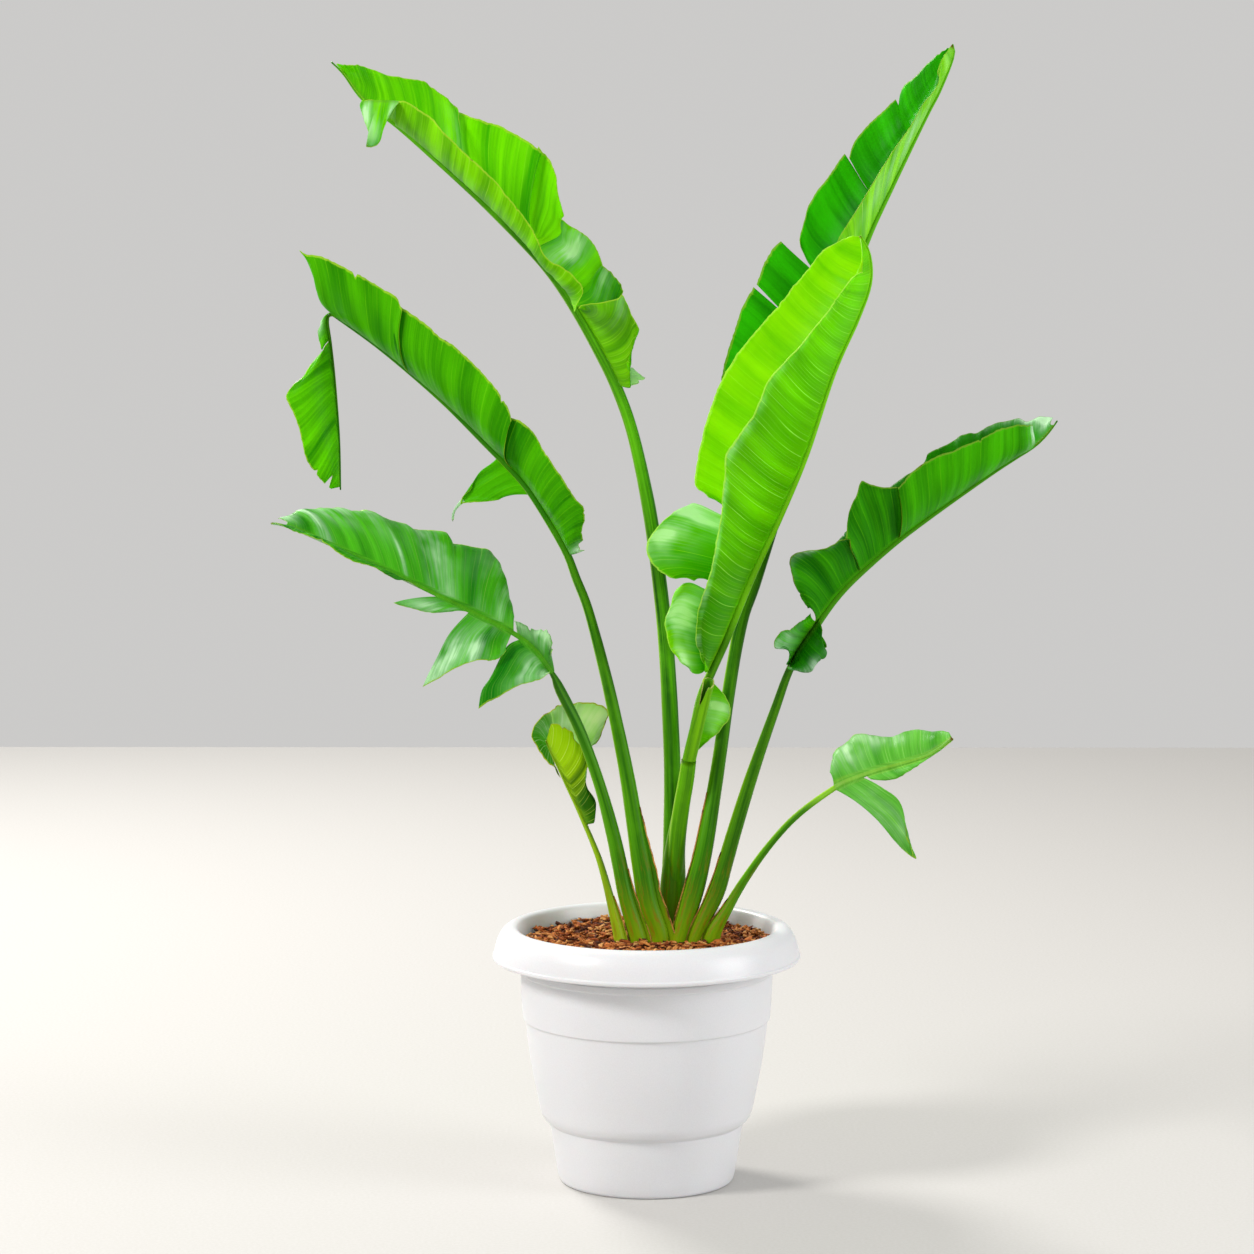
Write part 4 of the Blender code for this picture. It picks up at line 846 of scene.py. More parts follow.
def leaf_side(name, look):
    """One side of a blade: soft bands and thin veins run across it from the midrib, and the margin dries.

    The "veins" UV counts pleats along the midrib and centimetres away from it. "leaf" is the distance
    from the leaf's tip in centimetres and the share of the way out to the margin. "tint"
    is how much painted whitish sheen and how much painted light or shade that part of the blade gets.
    """
    n = Nodes(name)
    veins = n.uv("veins")
    phase, out = veins
    from_tip, across = n.uv("leaf")
    wax, light = n.uv("tint")

    band = n.streaks(veins, (0.62, 0.06), 4.0, 1.0)
    streak = n.streaks(veins, (3.4, 0.12))
    fibre = n.streaks(veins, (17.0, 0.15), 9.0, 1.0)
    blotch = n.noise(n.place(), 11.0)

    tone = n.total((blotch, 0.14), (band, 0.60), (streak, 0.26))
    # The lobe's painted light or shade moves the tone; where the painted shade is deep, the colour is
    # filtered darker.
    tone = n.math("ADD", tone, n.math("MAXIMUM", light, -0.3))
    half = 0.13 / look["contrast"]
    colour = n.mix(n.step(0.49 - half, 0.49 + half, tone), look["dark"], look["light"])
    colour = n.mix(n.step(-0.2, -0.5, light), colour, n.filtered(colour, look["deep"]))

    ridge, small_ridge = (n.math("ABSOLUTE", n.math("SINE", n.times(phase, count * math.pi)))
                          for count in (1, 3))
    seen = n.step(0.40, 0.62, streak)
    lines = n.times(n.step(0.16, 0.0, ridge), n.times(seen, look["veins"]))
    small = n.times(n.step(0.34, 0.0, small_ridge), look["lines"])
    lines = n.math("ADD", lines, n.times(small, n.step(0.42, 0.60, fibre)), clamp=True)
    colour = n.mix(n.times(lines, n.step(0.0, 0.35, out)), colour, look["vein"])

    # A whitish sheen painted in streaks along the veins, as strong as the lobe's sheen spots ask.
    waxy = n.total((streak, 0.3), (n.streaks(veins, (0.45, 0.22), 2.0), 0.7))
    waxy = n.times(n.step(0.62, 0.30, waxy), wax)
    waxy = n.math("ADD", waxy, n.math("SUBTRACT", wax, 1.0, clamp=True), clamp=True)
    colour = n.mix(waxy, colour, look["bloom"])
    colour = n.paint(colour, look["rib"], n.step(0.45, 0.0, out), look["rib_share"])

    reach = n.moved(across, n.streaks(veins, (1.7, None), 3.0, 3.0, 0.6), 0.05)
    colour = n.paint(colour, look["margin"], n.step(0.995, 1.012, reach), look["margin_share"])
    dry = n.step(look["dry_from"], look["dry_from"] + 0.08, n.streaks(veins, (0.8, None), 7.0, 3.0, 0.65))
    colour = n.paint(colour, look["dry"], n.times(n.step(1.008, 1.02, reach), dry), 0.85)
    tip = n.step(look["dry_tip"] + 0.35, look["dry_tip"], n.moved(from_tip, blotch, 0.4))
    colour = n.mix(tip, colour, look["dry"])

    normal = n.bump(n.total((fibre, 0.35), (streak, 0.5)), 0.0006, 0.55)
    rough = n.step(0.3, 0.7, streak, look["rough"] - 0.05, look["rough"] + 0.07)
    skin = n.skin(colour, rough, look["shine"], Normal=normal)
    return n.surface(n.sheer(skin, look["through"], n.filtered(colour, look["glow"]), Normal=normal))


def stalk_skin(name, look):
    """Stalk: fine fibres run along it, the foot turns yellow and brown, and a highlight is painted down one
    side.

    The "veins" UV is centimetres round the stalk and along it. "leaf" is the share of the whole length
    and of the way from the front to the back.
    """
    n = Nodes(name)
    veins = n.uv("veins")
    height = n.split(n.place())[2]
    fibre = n.streaks(veins, (9.0, 0.10), 0.0, 3.0, 0.6)
    band = n.streaks(veins, (1.3, 0.05), 3.0)
    blotch = n.noise(n.place(), 22.0, 4.0, 0.6)
    tone = n.step(0.28, 0.80, n.total((fibre, 0.35), (band, 0.65)))
    colour = n.mix(tone, look["dark"], look["light"])
    foot = n.step(look["foot_top"], 0.25, n.moved(height, band, 0.10))
    colour = n.paint(colour, look["foot"], foot, 0.8)
    share = n.uv("leaf")[0]
    dry = n.step(look["dry_tip"] - 0.006, look["dry_tip"] + 0.004, share)
    colour = n.mix(dry, colour, rgb(70, 40, 16))
    scars = n.step(0.51, 0.62, n.streaks(veins, (3.0, 0.25), 8.0, 4.0, 0.7))
    scars = n.times(scars, n.step(0.36, 0.25, height))
    colour = n.paint(colour, rgb(144, 98, 16), scars, 0.75)
    on_rib = n.step(look["rib_from"] - 0.04, look["rib_from"] + 0.04, share)
    colour = n.paint(colour, look["rib"], on_rib, 0.85)
    specks = n.step(0.70, 0.76, n.noise(n.place(), 260.0))
    colour = n.paint(colour, look["dark"], specks, 0.35)
    colour = n.paint(colour, look["light"], n.step(0.45, 0.7, blotch), 0.25)
    # A painted highlight down the stalk's left side, towards the key light.
    colour = n.paint(colour, look["edge"], n.step(0.62, 0.10, veins[0]), 0.62)
    rough = n.step(0.2, 0.8, fibre, 0.32, 0.44)
    return n.surface(n.skin(colour, rough, 0.1, Normal=n.bump(fibre, 0.0006, 0.4)))


def sheath_skin():
    """Papery dry margin of a leaf sheath, orange brown, thin and fibrous."""
    n = Nodes("sheath_margin")
    fibre = n.streaks(n.uv("veins"), (14.0, 0.4), 0.0, 4.0, 0.65)
    blotch = n.noise(n.place(), 60.0, 4.0, 0.65)
    colour = n.mix(n.step(0.3, 0.6, fibre), rgb(176, 112, 34), rgb(236, 178, 84))
    colour = n.mix(n.step(0.52, 0.66, blotch), colour, rgb(112, 62, 20))
    skin = n.skin(colour, 0.7, Normal=n.bump(fibre, 0.0008, 0.8))
    return n.surface(n.sheer(skin, 0.3, colour))


def pot_plastic():
    """Clean white moulded plastic with a very fine grain."""
    n = Nodes("pot_plastic")
    grain = n.noise(n.place(), 900.0)
    colour = n.mix(n.step(0.3, 0.7, grain), rgb(216, 216, 219), rgb(220, 220, 223))
    depth = {"Subsurface Weight": 0.1, "Subsurface Scale": 0.004}
    return n.surface(n.skin(colour, 0.34, Normal=n.bump(grain, 0.00008, 0.2), **depth))


def bark_skin():
    """Bark chips, each its own golden, red or dark brown, with fibres along the chip."""
    n = Nodes("bark_chip")
    chip = n.uv("leaf")[0]
    fibre = n.streaks(n.uv("veins"), (2.2, 16.0), chip, 4.0, 0.65)
    dust = n.noise(n.place(), 420.0, 3.0, 0.6)
    ramp = n.add("ShaderNodeValToRGB", {0: chip})
    stops = ramp.color_ramp.elements
    stops[0].color = (*rgb(70, 34, 14), 1.0)
    stops[1].color = (*rgb(240, 182, 112), 1.0)
    for position, colour in ((0.15, rgb(116, 52, 18)), (0.38, rgb(178, 90, 32)), (0.62, rgb(214, 126, 56)),
                             (0.84, rgb(232, 160, 88))):
        stops.new(position).color = (*colour, 1.0)
    light = ramp.outputs[0]
    colour = n.mix(n.step(0.36, 0.58, fibre), n.filtered(light, (0.42, 0.36, 0.32)), light)
    colour = n.paint(colour, rgb(206, 156, 104), n.step(0.60, 0.74, dust), 0.3)
    normal = n.bump(n.moved(fibre, dust, 0.3), 0.0012, 0.9)
    return n.surface(n.skin(colour, 0.8, 0.25, Normal=normal))


def soil_skin():
    """Dark potting soil with peat fibres and a few pale grains."""
    n = Nodes("potting_soil")
    place = n.place()
    lumps = n.noise(place, 240.0, 6.0, 0.7)
    colour = n.mix(n.step(0.35, 0.7, lumps), rgb(30, 17, 10), rgb(84, 48, 26))
    grains = n.step(0.72, 0.76, n.noise(place, 700.0, 1.0))
    colour = n.paint(colour, rgb(190, 176, 156), grains, 0.7)
    return n.surface(n.skin(colour, 0.95, 0.15, Normal=n.bump(lumps, 0.003, 1.0)))


def crown_skin():
    """Fibrous brown crown with old leaf scars in rings."""
    n = Nodes("crown_tissue")
    x, y, z = n.split(n.place())[:3]
    rings = n.noise(n.join(n.times(x, 30.0), n.times(y, 30.0), n.times(z, 500.0)), 1.0, 4.0, 0.6)
    colour = n.mix(n.step(0.35, 0.7, rings), rgb(86, 58, 30), rgb(160, 124, 74))
    return n.surface(n.skin(colour, 0.8, Normal=n.bump(rings, 0.0015, 0.8)))


def floor_skin():
    """Plain pale floor with the faintest speckle."""
    n = Nodes("studio_floor")
    speck = n.noise(n.place(), 300.0)
    colour = n.mix(n.step(0.3, 0.7, speck), rgb(196, 194, 190), rgb(200, 198, 195))
    return n.surface(n.skin(colour, 0.8, 0.2))


# ---------------------------------------------------------------- stalks


def frame_along(points, upper):
    """At each point of a line: its direction, the direction of the upper side, and the one to the front."""
    along = tangents(points)
    upper = np.array(upper, float)
    up = unit(upper - along * (along @ upper)[:, None])
    front = np.cross(along, up)
    if front[len(front) // 2][1] > 0:
        front = -front
    return along, up, front


def groove(angle, spread, depth):
    """How far in a channel draws the surface, as a share of the radius, at an angle from the upper side."""
    share = np.clip(np.abs(angle) / spread, 0.0, 1.0)
    return 1.0 - depth * np.cos(math.pi / 2 * share) ** 2


def stalk_line(leaf):
    """The leaf's axis from its foot to its tip, with widths and depths, and the length of the stalk."""
    thick = 2 * leaf["rib_radius"][0]
    rib = [(*point, thick, thick) for point in leaf["rib"]]
    axis = Curve([*leaf["stalk"], *rib])
    return axis, axis.knots[len(leaf["stalk"])]


def build_tube(parts, points, widths, depths, lengths, up, spread, depth_of_groove, seed, share_to=1.0):
    """A closed tube along points, oval, with a channel on its upper side. Returns its rings."""
    along = tangents(points)
    across = unit(np.cross(along, VIEW))
    level = np.cross(across, along)
    angle = angles_round(STALK_SIDES)
    reach = (across[:, None] * (widths[:, None] / 2 * np.cos(angle))[..., None]
             + level[:, None] * (depths[:, None] / 2 * np.sin(angle))[..., None])
    off = np.arccos(np.clip(np.einsum("ijk,ik->ij", unit(reach), up), -1, 1))
    fine, slow = np.sin(angle * 9 + seed), waves(lengths, seed, [45.0, 110.0])
    ribs = 1 + 0.006 * fine[None, :] + 0.01 * slow[:, None]
    reach = reach * (groove(off, spread, depth_of_groove[:, None]) * ribs)[..., None]
    rings = points[:, None] + reach
    around = angle / (2 * math.pi) * 5.0
    veins = pairs(np.minimum(around, 5.0 - around), lengths[:, None] / 10)
    leaf = pairs(share_to * lengths[:, None] / lengths[-1], off / math.pi)
    index = parts.add_vertices(rings, veins, leaf).reshape(off.shape)
    parts.add_grid(index, closed=True)
    parts.add_faces([index[0]])
    tip = parts.add_vertices(points[-1] + along[-1] * widths[-1] * 0.4)[0]
    parts.add_faces([(index[-1][(i + 1) % STALK_SIDES], index[-1][i], tip) for i in range(STALK_SIDES)])
    return rings


def add_sheath(parts, rings, lengths, side, top, width, seed):
    """The open edge of a sheath: a green wing that clasps its neighbour, with a dry orange-brown margin."""
    rows = [i for i, length in enumerate(lengths) if length <= top]
    k = round(STALK_SIDES * (0.555 if side > 0 else 0.945))
    out = np.array([0.92 * side, -0.30, 0.0])
    here = np.array([lengths[i] for i in rows])
    reach = width * (1 - here / top) ** 0.75 * (0.9 + 0.16 * waves(here, seed, [12, 30, 60]))
    reach = np.clip(reach, 0.25, None)
    margin = np.clip(1.1 + 0.4 * waves(here, seed + 9, [9, 26]), 0.5, None)
    flutter = waves(here, seed + 5, [25, 50]) * 0.4
    base = np.array([rings[i][k] for i in rows])
    thick = np.array([0.0, 0.35, 0.0])
    columns = np.linspace(0, 1, SHEATH_COLUMNS)
    veins = pairs(columns * 0.6 + 1.0, here[:, None] / 10)
    leaf = pairs(here[:, None] / lengths[-1], 0 * columns)
    for dry, start, end in ((0, -0.8 + 0 * reach, reach), (1, reach - 0.3, reach + margin)):
        grid = []
        for share in columns:
            place = base + out * (start + (end - start) * share)[:, None]
            place[:, 1] += flutter * (1.0 if dry else share) + 0.8 * (1 - here / top) * share * (not dry)
            if dry:
                place[:, 1] += 0.8 * (1 - here / top) - 0.1
            grid.append(place)
        grid = np.stack(grid, axis=1)
        front, back = (parts.add_vertices(grid + shift, veins, leaf).reshape(len(rows), SHEATH_COLUMNS)
                       for shift in (-thick, thick))
        ring = np.concatenate([front, back[:, ::-1]], axis=1)
        parts.add_grid(ring, dry, flip=side < 0, closed=True)
        parts.add_faces([ring[0][::-1], ring[-1]] if side < 0 else [ring[0], ring[-1][::-1]], dry)


def build_stalk(name, leaf, axis, stalk_length, materials, seed):
    """A stalk and the midrib that it runs on into, with its sheath and the holder of a stub."""
    lengths = np.linspace(0.0, axis.length, max(12, round(axis.length / STALK_STEP)))
    data = axis.at_length(lengths)
    points, widths, depths = data[:, :3], data[:, 3].copy(), data[:, 4].copy()
    share = np.clip((lengths - stalk_length) / (axis.length - stalk_length), 0.0, 1.0)
    on_rib = lengths >= stalk_length
    widths[on_rib] = depths[on_rib] = 2 * taper(leaf["rib_radius"], share)[on_rib]
    _, up, _ = frame_along(points, leaf["upper"])
    spread = math.radians(sum(leaf["spread"]) / 2)
    depth_of_groove = GROOVE * smoothstep(stalk_length - 150, stalk_length + 10, lengths)
    parts = MeshParts()
    made = build_tube(parts, points, widths, depths, lengths, up, spread, depth_of_groove, seed)
    if "sheath" in leaf:
        add_sheath(parts, made, lengths, *leaf["sheath"], seed)
    if "holder" in leaf:
        holder = Curve(leaf["holder"])
        steps = np.linspace(0.0, holder.length, HOLDER_RINGS)
        data = holder.at_length(steps)
        _, up, _ = frame_along(data[:, :3], leaf["upper"])
        build_tube(parts, data[:, :3], data[:, 3], data[:, 4], steps, up, spread, 0 * steps, seed + 3,
                   share_to=0.4)
    return parts.build(name, materials)


# ---------------------------------------------------------------- blades


class Blade:
    """One sheet over a midrib: a band over its upper side, and lobes along the band's two edges."""

    def __init__(self, points, radii, fractions, rib_length, spec, seed):
        self.parts = MeshParts()
        self.spec = spec
        self.fractions = fractions
        self.rib_length = rib_length
        self.tip = points[-1]
        _, self.up, self.front = frame_along(points, spec["upper"])
        lobes = spec["near"] + spec["far"]
        self.first = self.index(min(one["start"] for one in lobes))
        self.last = self.index(max(one["end"] for one in lobes))
        self.band(points, radii)
        for side, lobes in enumerate((spec["near"], spec["far"])):
            for number, one in enumerate(lobes):
                self.lobe(one, side, seed * 31 + side * 7 + number)

    def index(self, fraction):
        return int(np.argmin(np.abs(self.fractions - fraction)))

    def from_tip(self, place):
        """Centimetres from the leaf's tip."""
        return np.linalg.norm(place - self.tip, axis=-1) / 10

    def band(self, points, radii):
        near, far = self.spec["spread"]
        angles = np.radians(near - (near + far) * np.arange(BAND_CELLS + 1) / BAND_CELLS)
        spread = math.radians((near + far) / 2)
        channel = groove(angles, spread, self.spec.get("groove", GROOVE))
        reach = (radii[:, None] + BAND_CLEAR) * channel[None, :]
        cosine = (reach * np.cos(angles))[..., None]
        sine = (reach * np.sin(angles))[..., None]
        rows = points[:, None] + self.up[:, None] * cosine + self.front[:, None] * sine
        rows = rows[self.first:self.last + 1]
        along = self.fractions[self.first:self.last + 1] * self.rib_length
        across = np.abs(np.linspace(-1, 1, BAND_CELLS + 1)) * 0.3
        veins = pairs(along[:, None] / PLEAT_PITCH, across)
        leaf = pairs(self.from_tip(rows), 0.0)
        self.root_index = self.parts.add_vertices(rows, veins, leaf).reshape(rows.shape[:2])
        self.root_place = rows
        middle = rows.shape[0] // 2
        normal = np.cross(rows[middle, 5] - rows[middle, 3], rows[middle + 1, 4] - rows[middle, 4])
        self.flip = float(normal @ self.up[self.first + middle]) < 0
        self.parts.add_grid(self.root_index, flip=self.flip)

    def lobe(self, one, side, seed):
        """One torn part: a patch between its root line, its margin and its two tears, then its relief."""
        spec = self.spec
        first, last = self.index(one["start"]), self.index(one["end"])
        column = BAND_CELLS if side else 0
        rows = slice(first - self.first, last - self.first + 1)
        roots = self.root_place[rows, column]
        fractions = self.fractions[first:last + 1]
        u = (fractions - fractions[0]) / (fractions[-1] - fractions[0])
        if "root" in one:
            roots = Curve(one["root"]).at(u)
        u_edge = u + one.get("lean", spec.get("lean", 0.2)) * u * (1 - u)
        edge_line = Curve(one["edge"])
        edge = edge_line.at(u_edge)
        start_side = Curve([roots[0], *one["sides"][0], edge[0]])
        end_side = Curve([roots[-1], *one["sides"][1], edge[-1]])
        width = np.linalg.norm(edge - roots, axis=1)
        cells = int(np.clip(round(np.percentile(width, 80) / ACROSS_STEP), *ACROSS_CELLS))
        s_edge = u_edge * edge_line.length
        reach = 1 - self.cut(one, u_edge, edge_line.length, width, seed) / np.maximum(width, 1.0)

        grid_v = np.linspace(0, 1, cells + 1)
        v = grid_v[None, :] * reach[:, None]
        across = v[..., None]
        along = (u[:, None] + (u_edge - u)[:, None] * v)[..., None]
        place = roots[:, None] * (1 - across) + edge[:, None] * across
        side_a = start_side.at(v.ravel()).reshape(*v.shape, -1)
        side_b = end_side.at(v.ravel()).reshape(*v.shape, -1)
        place += side_a * (1 - along) + side_b * along
        place -= (roots[0] * (1 - along) + roots[-1] * along) * (1 - across)
        place -= (edge[0] * (1 - along) + edge[-1] * along) * across
        fade = 1 - smoothstep(0.82, 1.0, u) if one["end"] > 0.94 else np.ones(len(u))
        place += np.array(one["arch"], float) * (4 * v * (1 - v) * fade[:, None])[..., None]

        normal = unit(np.cross(np.gradient(place, axis=0), np.gradient(place, axis=1)))
        if (normal[len(normal) // 2, 1] @ self.up[(first + last) // 2]) < 0:
            normal = -normal

        s_root = fractions * self.rib_length
        rib_share = self.rib_length * (one["end"] - one["start"])
        scale = max(1.0, edge_line.length / max(rib_share, 1.0)) ** 0.7
        drift = 0.35 * waves(s_root, seed + 3, [50.0, 120.0])[:, None]
        phase = s_root[:, None] * scale / PLEAT_PITCH + drift + 0.12 * np.sin(v * 5 + seed)
        narrow = np.clip(width[:, None] / 30.0, 0, 1)
        strength = 0.6 + 0.4 * np.sin(np.floor(phase) * 12.9898 + seed)
        ridge = np.abs(np.sin(math.pi * phase)) - 0.6
        pleat = spec.get("pleat", 0.55) * smoothstep(0.02, 0.3, v) * narrow * (0.55 + 0.45 * strength)
        ripple = one.get("ripple", spec.get("ripple", 2.2))
        lift = pleat * ridge
        lift = lift + ripple * v ** 2 * narrow * waves(s_edge, seed + 1, [48.0, 100.0])[:, None]
        lift = lift + 1.1 * narrow * v * waves(s_edge, seed + 2, [30.0])[:, None] * np.sin(v * 4)
        lift = lift - one.get("curl", 2.0) * smoothstep(0.8, 1.0, v) ** 2 * narrow
        near_start = np.exp(-(u * edge_line.length / 7.0) ** 2)[:, None]
        near_end = np.exp(-((1 - u) * edge_line.length / 7.0) ** 2)[:, None] * (one["end"] <= 0.97)
        lift = lift + one.get("flare", 1.6) * v * narrow * (near_start - near_end)
        place = place + normal * lift[..., None]

        veins = pairs(phase, v * width[:, None] / 10)
        leaf = pairs(self.from_tip(place), grid_v)
        # The lobe's spots of painted whitish sheen and of painted light or shade.
        bloom = one.get("bloom", spec.get("bloom", 0.0))
        tint = pairs(spread_over(bloom, u, v), spread_over(one.get("shade", 0.0), u, v))
        outer = self.parts.add_vertices(place[:, 1:], veins[:, 1:], leaf[:, 1:], tint[:, 1:])
        root = self.root_index[rows, column]
        if "root" in one or one.get("free", False):
            root = self.parts.add_vertices(roots, veins[:, 0], leaf[:, 0], tint[:, 0])
        index = np.concatenate([root[:, None], outer.reshape(len(u), cells)], axis=1)
        self.parts.add_grid(index if side else index[:, ::-1], flip=self.flip)

    def cut(self, one, u_edge, length, width, seed):
        """How far the margin is eaten away along it: fine waves, random nicks and the placed tears."""
        rng = np.random.default_rng(seed)
        s_edge = u_edge * length
        cut = 0.45 * waves(s_edge, seed, [7.0, 18.0]) + 0.5
        for _ in range(one.get("nicks", round(length / NICK_EVERY))):
            at = rng.uniform(0.06, 0.94) * length
            deep = rng.uniform(1.5, 4.5)
            wide = rng.uniform(1.2, 2.2)
            cut += deep * np.clip(1 - np.abs(s_edge - at) / wide, 0, 1)
        for at, deep in one.get("tears", ()):
            cut += deep * np.clip(1 - np.abs(u_edge - at) * length / 2.4, 0, 1) ** 0.7
        return np.minimum(cut, 0.85 * width)

    def build(self, name, materials):
        blade = self.parts.build(name, materials)
        solidify = blade.modifiers.new("thickness", "SOLIDIFY")
        solidify.thickness = SHEET * MM
        solidify.offset = 0.0
        solidify.use_rim = True
        solidify.material_offset = 1
        solidify.material_offset_rim = 2
        return blade


def blade_fractions(rib_length, lobes):
    """Where the blade's rows lie along the midrib: at every tear, and close together between them."""
    marks = sorted({0.0, 1.0, *(one["start"] for one in lobes), *(one["end"] for one in lobes)})
    found = [0.0]
    for before, after in zip(marks, marks[1:]):
        reach = (after - before) * rib_length
        for one in lobes:
            if one["start"] <= before and after <= one["end"]:
                edge_length = Curve(one["edge"]).length
                reach = max(reach, edge_length * (after - before) / (one["end"] - one["start"]))
        pieces = max(2, round(reach / ALONG_STEP))
        found += [before + (after - before) * i / pieces for i in range(1, pieces + 1)]
    return np.array(found)


def blade_materials(name, *looks):
    """Materials of a blade's upper side, underside and cut margin, each from its changes to PLAIN."""
    names = (name + part for part in ("_upper", "_under", "_margin"))
    return [leaf_side(one, {**PLAIN, **look}) for one, look in zip(names, looks)]


def build_leaf(name, leaf, seed):
    axis, stalk_length = stalk_line(leaf)
    look = LOOKS[name]
    stalk = build_stalk("palm_" + name + "_stalk", leaf, axis, stalk_length,
                        [stalk_skin(name + "_stalk_skin", look["stalk"]), SHEATH], seed)
    declare(stalk, name + "_stalk")
    rib_length = axis.length - stalk_length
    fractions = blade_fractions(rib_length, leaf["near"] + leaf["far"])
    points = axis.at_length(stalk_length + rib_length * fractions)[:, :3]
    radii = taper(leaf["rib_radius"], fractions)
    upper, rim = look["upper"], {"dark": look["rim"], "light": look["rim"]}
    under = {**upper, **look["under"]}
    materials = blade_materials(name, upper, under, {**under, **rim})
    blade = Blade(points, radii, fractions, rib_length, leaf, seed)
    declare(blade.build("palm_" + name + "_blade", materials), name + "_blade")


# ---------------------------------------------------------------- pot


def rounded_line(corners):
    """A line through (x, y, fillet) corners, each rounded off over its own fillet length."""
    line = []
    for i, (x, y, fillet) in enumerate(corners):
        here = np.array([x, y], float)
        if i in (0, len(corners) - 1) or fillet == 0:
            line.append(here)
            continue
        before = np.array(corners[i - 1][:2], float)
        after = np.array(corners[i + 1][:2], float)
        a = here + unit(before - here) * min(fillet, 0.48 * np.linalg.norm(before - here))
        b = here + unit(after - here) * min(fillet, 0.48 * np.linalg.norm(after - here))
        for k in range(FILLET_STEPS + 1):
            t = k / FILLET_STEPS
            line.append(a * (1 - t) ** 2 + here * 2 * t * (1 - t) + b * t ** 2)
    return np.array(line)


# The pot's outline from the middle of its underside round the rim to the middle of its floor, as
# (radius, height, fillet)
POT_OUTSIDE = [
    (0, 0, 0), (20, 0, 0), (60, 0, 0), (80, 0, 3), (85.2, 0, 2), (87.4, 2.2, 1.5), (89.5, 10, 6),
    (92.5, 30, 12),
    (95.0, 46, 10), (96.9, 59.4, 1.0), (98.6, 60.6, 0.8), (102.2, 63.2, 3.0), (106.0, 70.0, 4.5),
    (109.6, 88, 12), (114.5, 112, 16), (118.3, 137, 14), (121.3, 162.6, 1.2), (121.9, 164.4, 0.6),
    (123.7, 165.6, 0.9), (124.6, 176, 8), (125.4, 190, 10), (126.1, 212.2, 1.0), (127.2, 213.4, 0.7),
    (127.4, 219.0, 0.7), (126.6, 220.2, 0.7), (127.0, 240, 5), (131.5, 249.6, 3), (139, 251.6, 5),
    (145.0, 243, 5), (148.6, 230.5, 3), (150.4, 226.6, 1.0), (151.6, 225.6, 0.8), (153.6, 226.4, 0.9),
    (154.0, 228.4, 0.8), (153.8, 229.8, 0.4), (152.9, 230.5, 0.4), (151.9, 235.8, 4), (149.5, 244.6, 6),
    (145.6, 252.6, 6), (139.6, 257.6, 5),
    (133.2, 258.7, 3), (129.0, 256.6, 2.2), (127.3, 252.4, 3), (125.0, 240, 6), (123.2, 222, 0),
    (119.0, 170, 0),
    (106.6, 88, 0), (94.4, 60, 0), (89, 20, 0), (84, 4, 0), (0, 4, 0),
]


def build_pot():
    """The pot, turned from its outline, with drain holes in its floor."""
    parts = MeshParts()
    angles = angles_round(POT_SIDES)
    index = np.stack([parts.add_vertices(level_ring(radius, height, angles))
                      for radius, height in rounded_line(POT_OUTSIDE)[1:-1]])
    parts.add_grid(index, closed=True)
    parts.add_faces([index[0][::-1], index[-1]])
    pot = parts.build("palm_pot", [pot_plastic()])
    drills = bmesh.new()
    for k in range(DRAIN_HOLES):
        turn = math.pi / 4 + k * 2 * math.pi / DRAIN_HOLES
        place = Matrix.Translation((DRAIN_CIRCLE * math.cos(turn), DRAIN_CIRCLE * math.sin(turn), 0.002))
        bmesh.ops.create_cone(drills, cap_ends=True, segments=32, radius1=DRAIN_RADIUS, radius2=DRAIN_RADIUS,
                              depth=0.016, matrix=place)
    mesh = bpy.data.meshes.new("drain_cutter")
    drills.to_mesh(mesh)
    drills.free()
    cutter = link("drain_cutter", mesh)
    hole = pot.modifiers.new("drain holes", "BOOLEAN")
    hole.operation = "DIFFERENCE"
    hole.solver = "EXACT"
    hole.object = cutter
    bpy.context.view_layer.update()
    made = bpy.data.meshes.new_from_object(pot.evaluated_get(bpy.context.evaluated_depsgraph_get()))
    pot.modifiers.clear()
    pot.data = made
    bpy.data.objects.remove(cutter, do_unlink=True)
    made.shade_smooth()
    made.set_sharp_from_angle(angle=math.radians(50))
    declare(pot, "pot")


# ---------------------------------------------------------------- ground


def stalk_feet():
    """Centre and half sizes of each stalk where it leaves the chips."""
    feet = []
    for leaf in LEAVES.values():
        x, y, _, width, depth = stalk_line(leaf)[0].at_length(14.0)
        feet.append((x, y, width / 2, depth / 2))
    return feet


def mulch_height(x, y, radius):
    """The height of the lumpy layer under the loose chips."""
    lumps = waves(x + 0.3 * y, 3, [22, 12]) * 1.5 + waves(y - 0.2 * x, 4, [20, 11]) * 1.5
    return CHIPS_TOP - 3.5 + lumps + smoothstep(70, 120, radius)


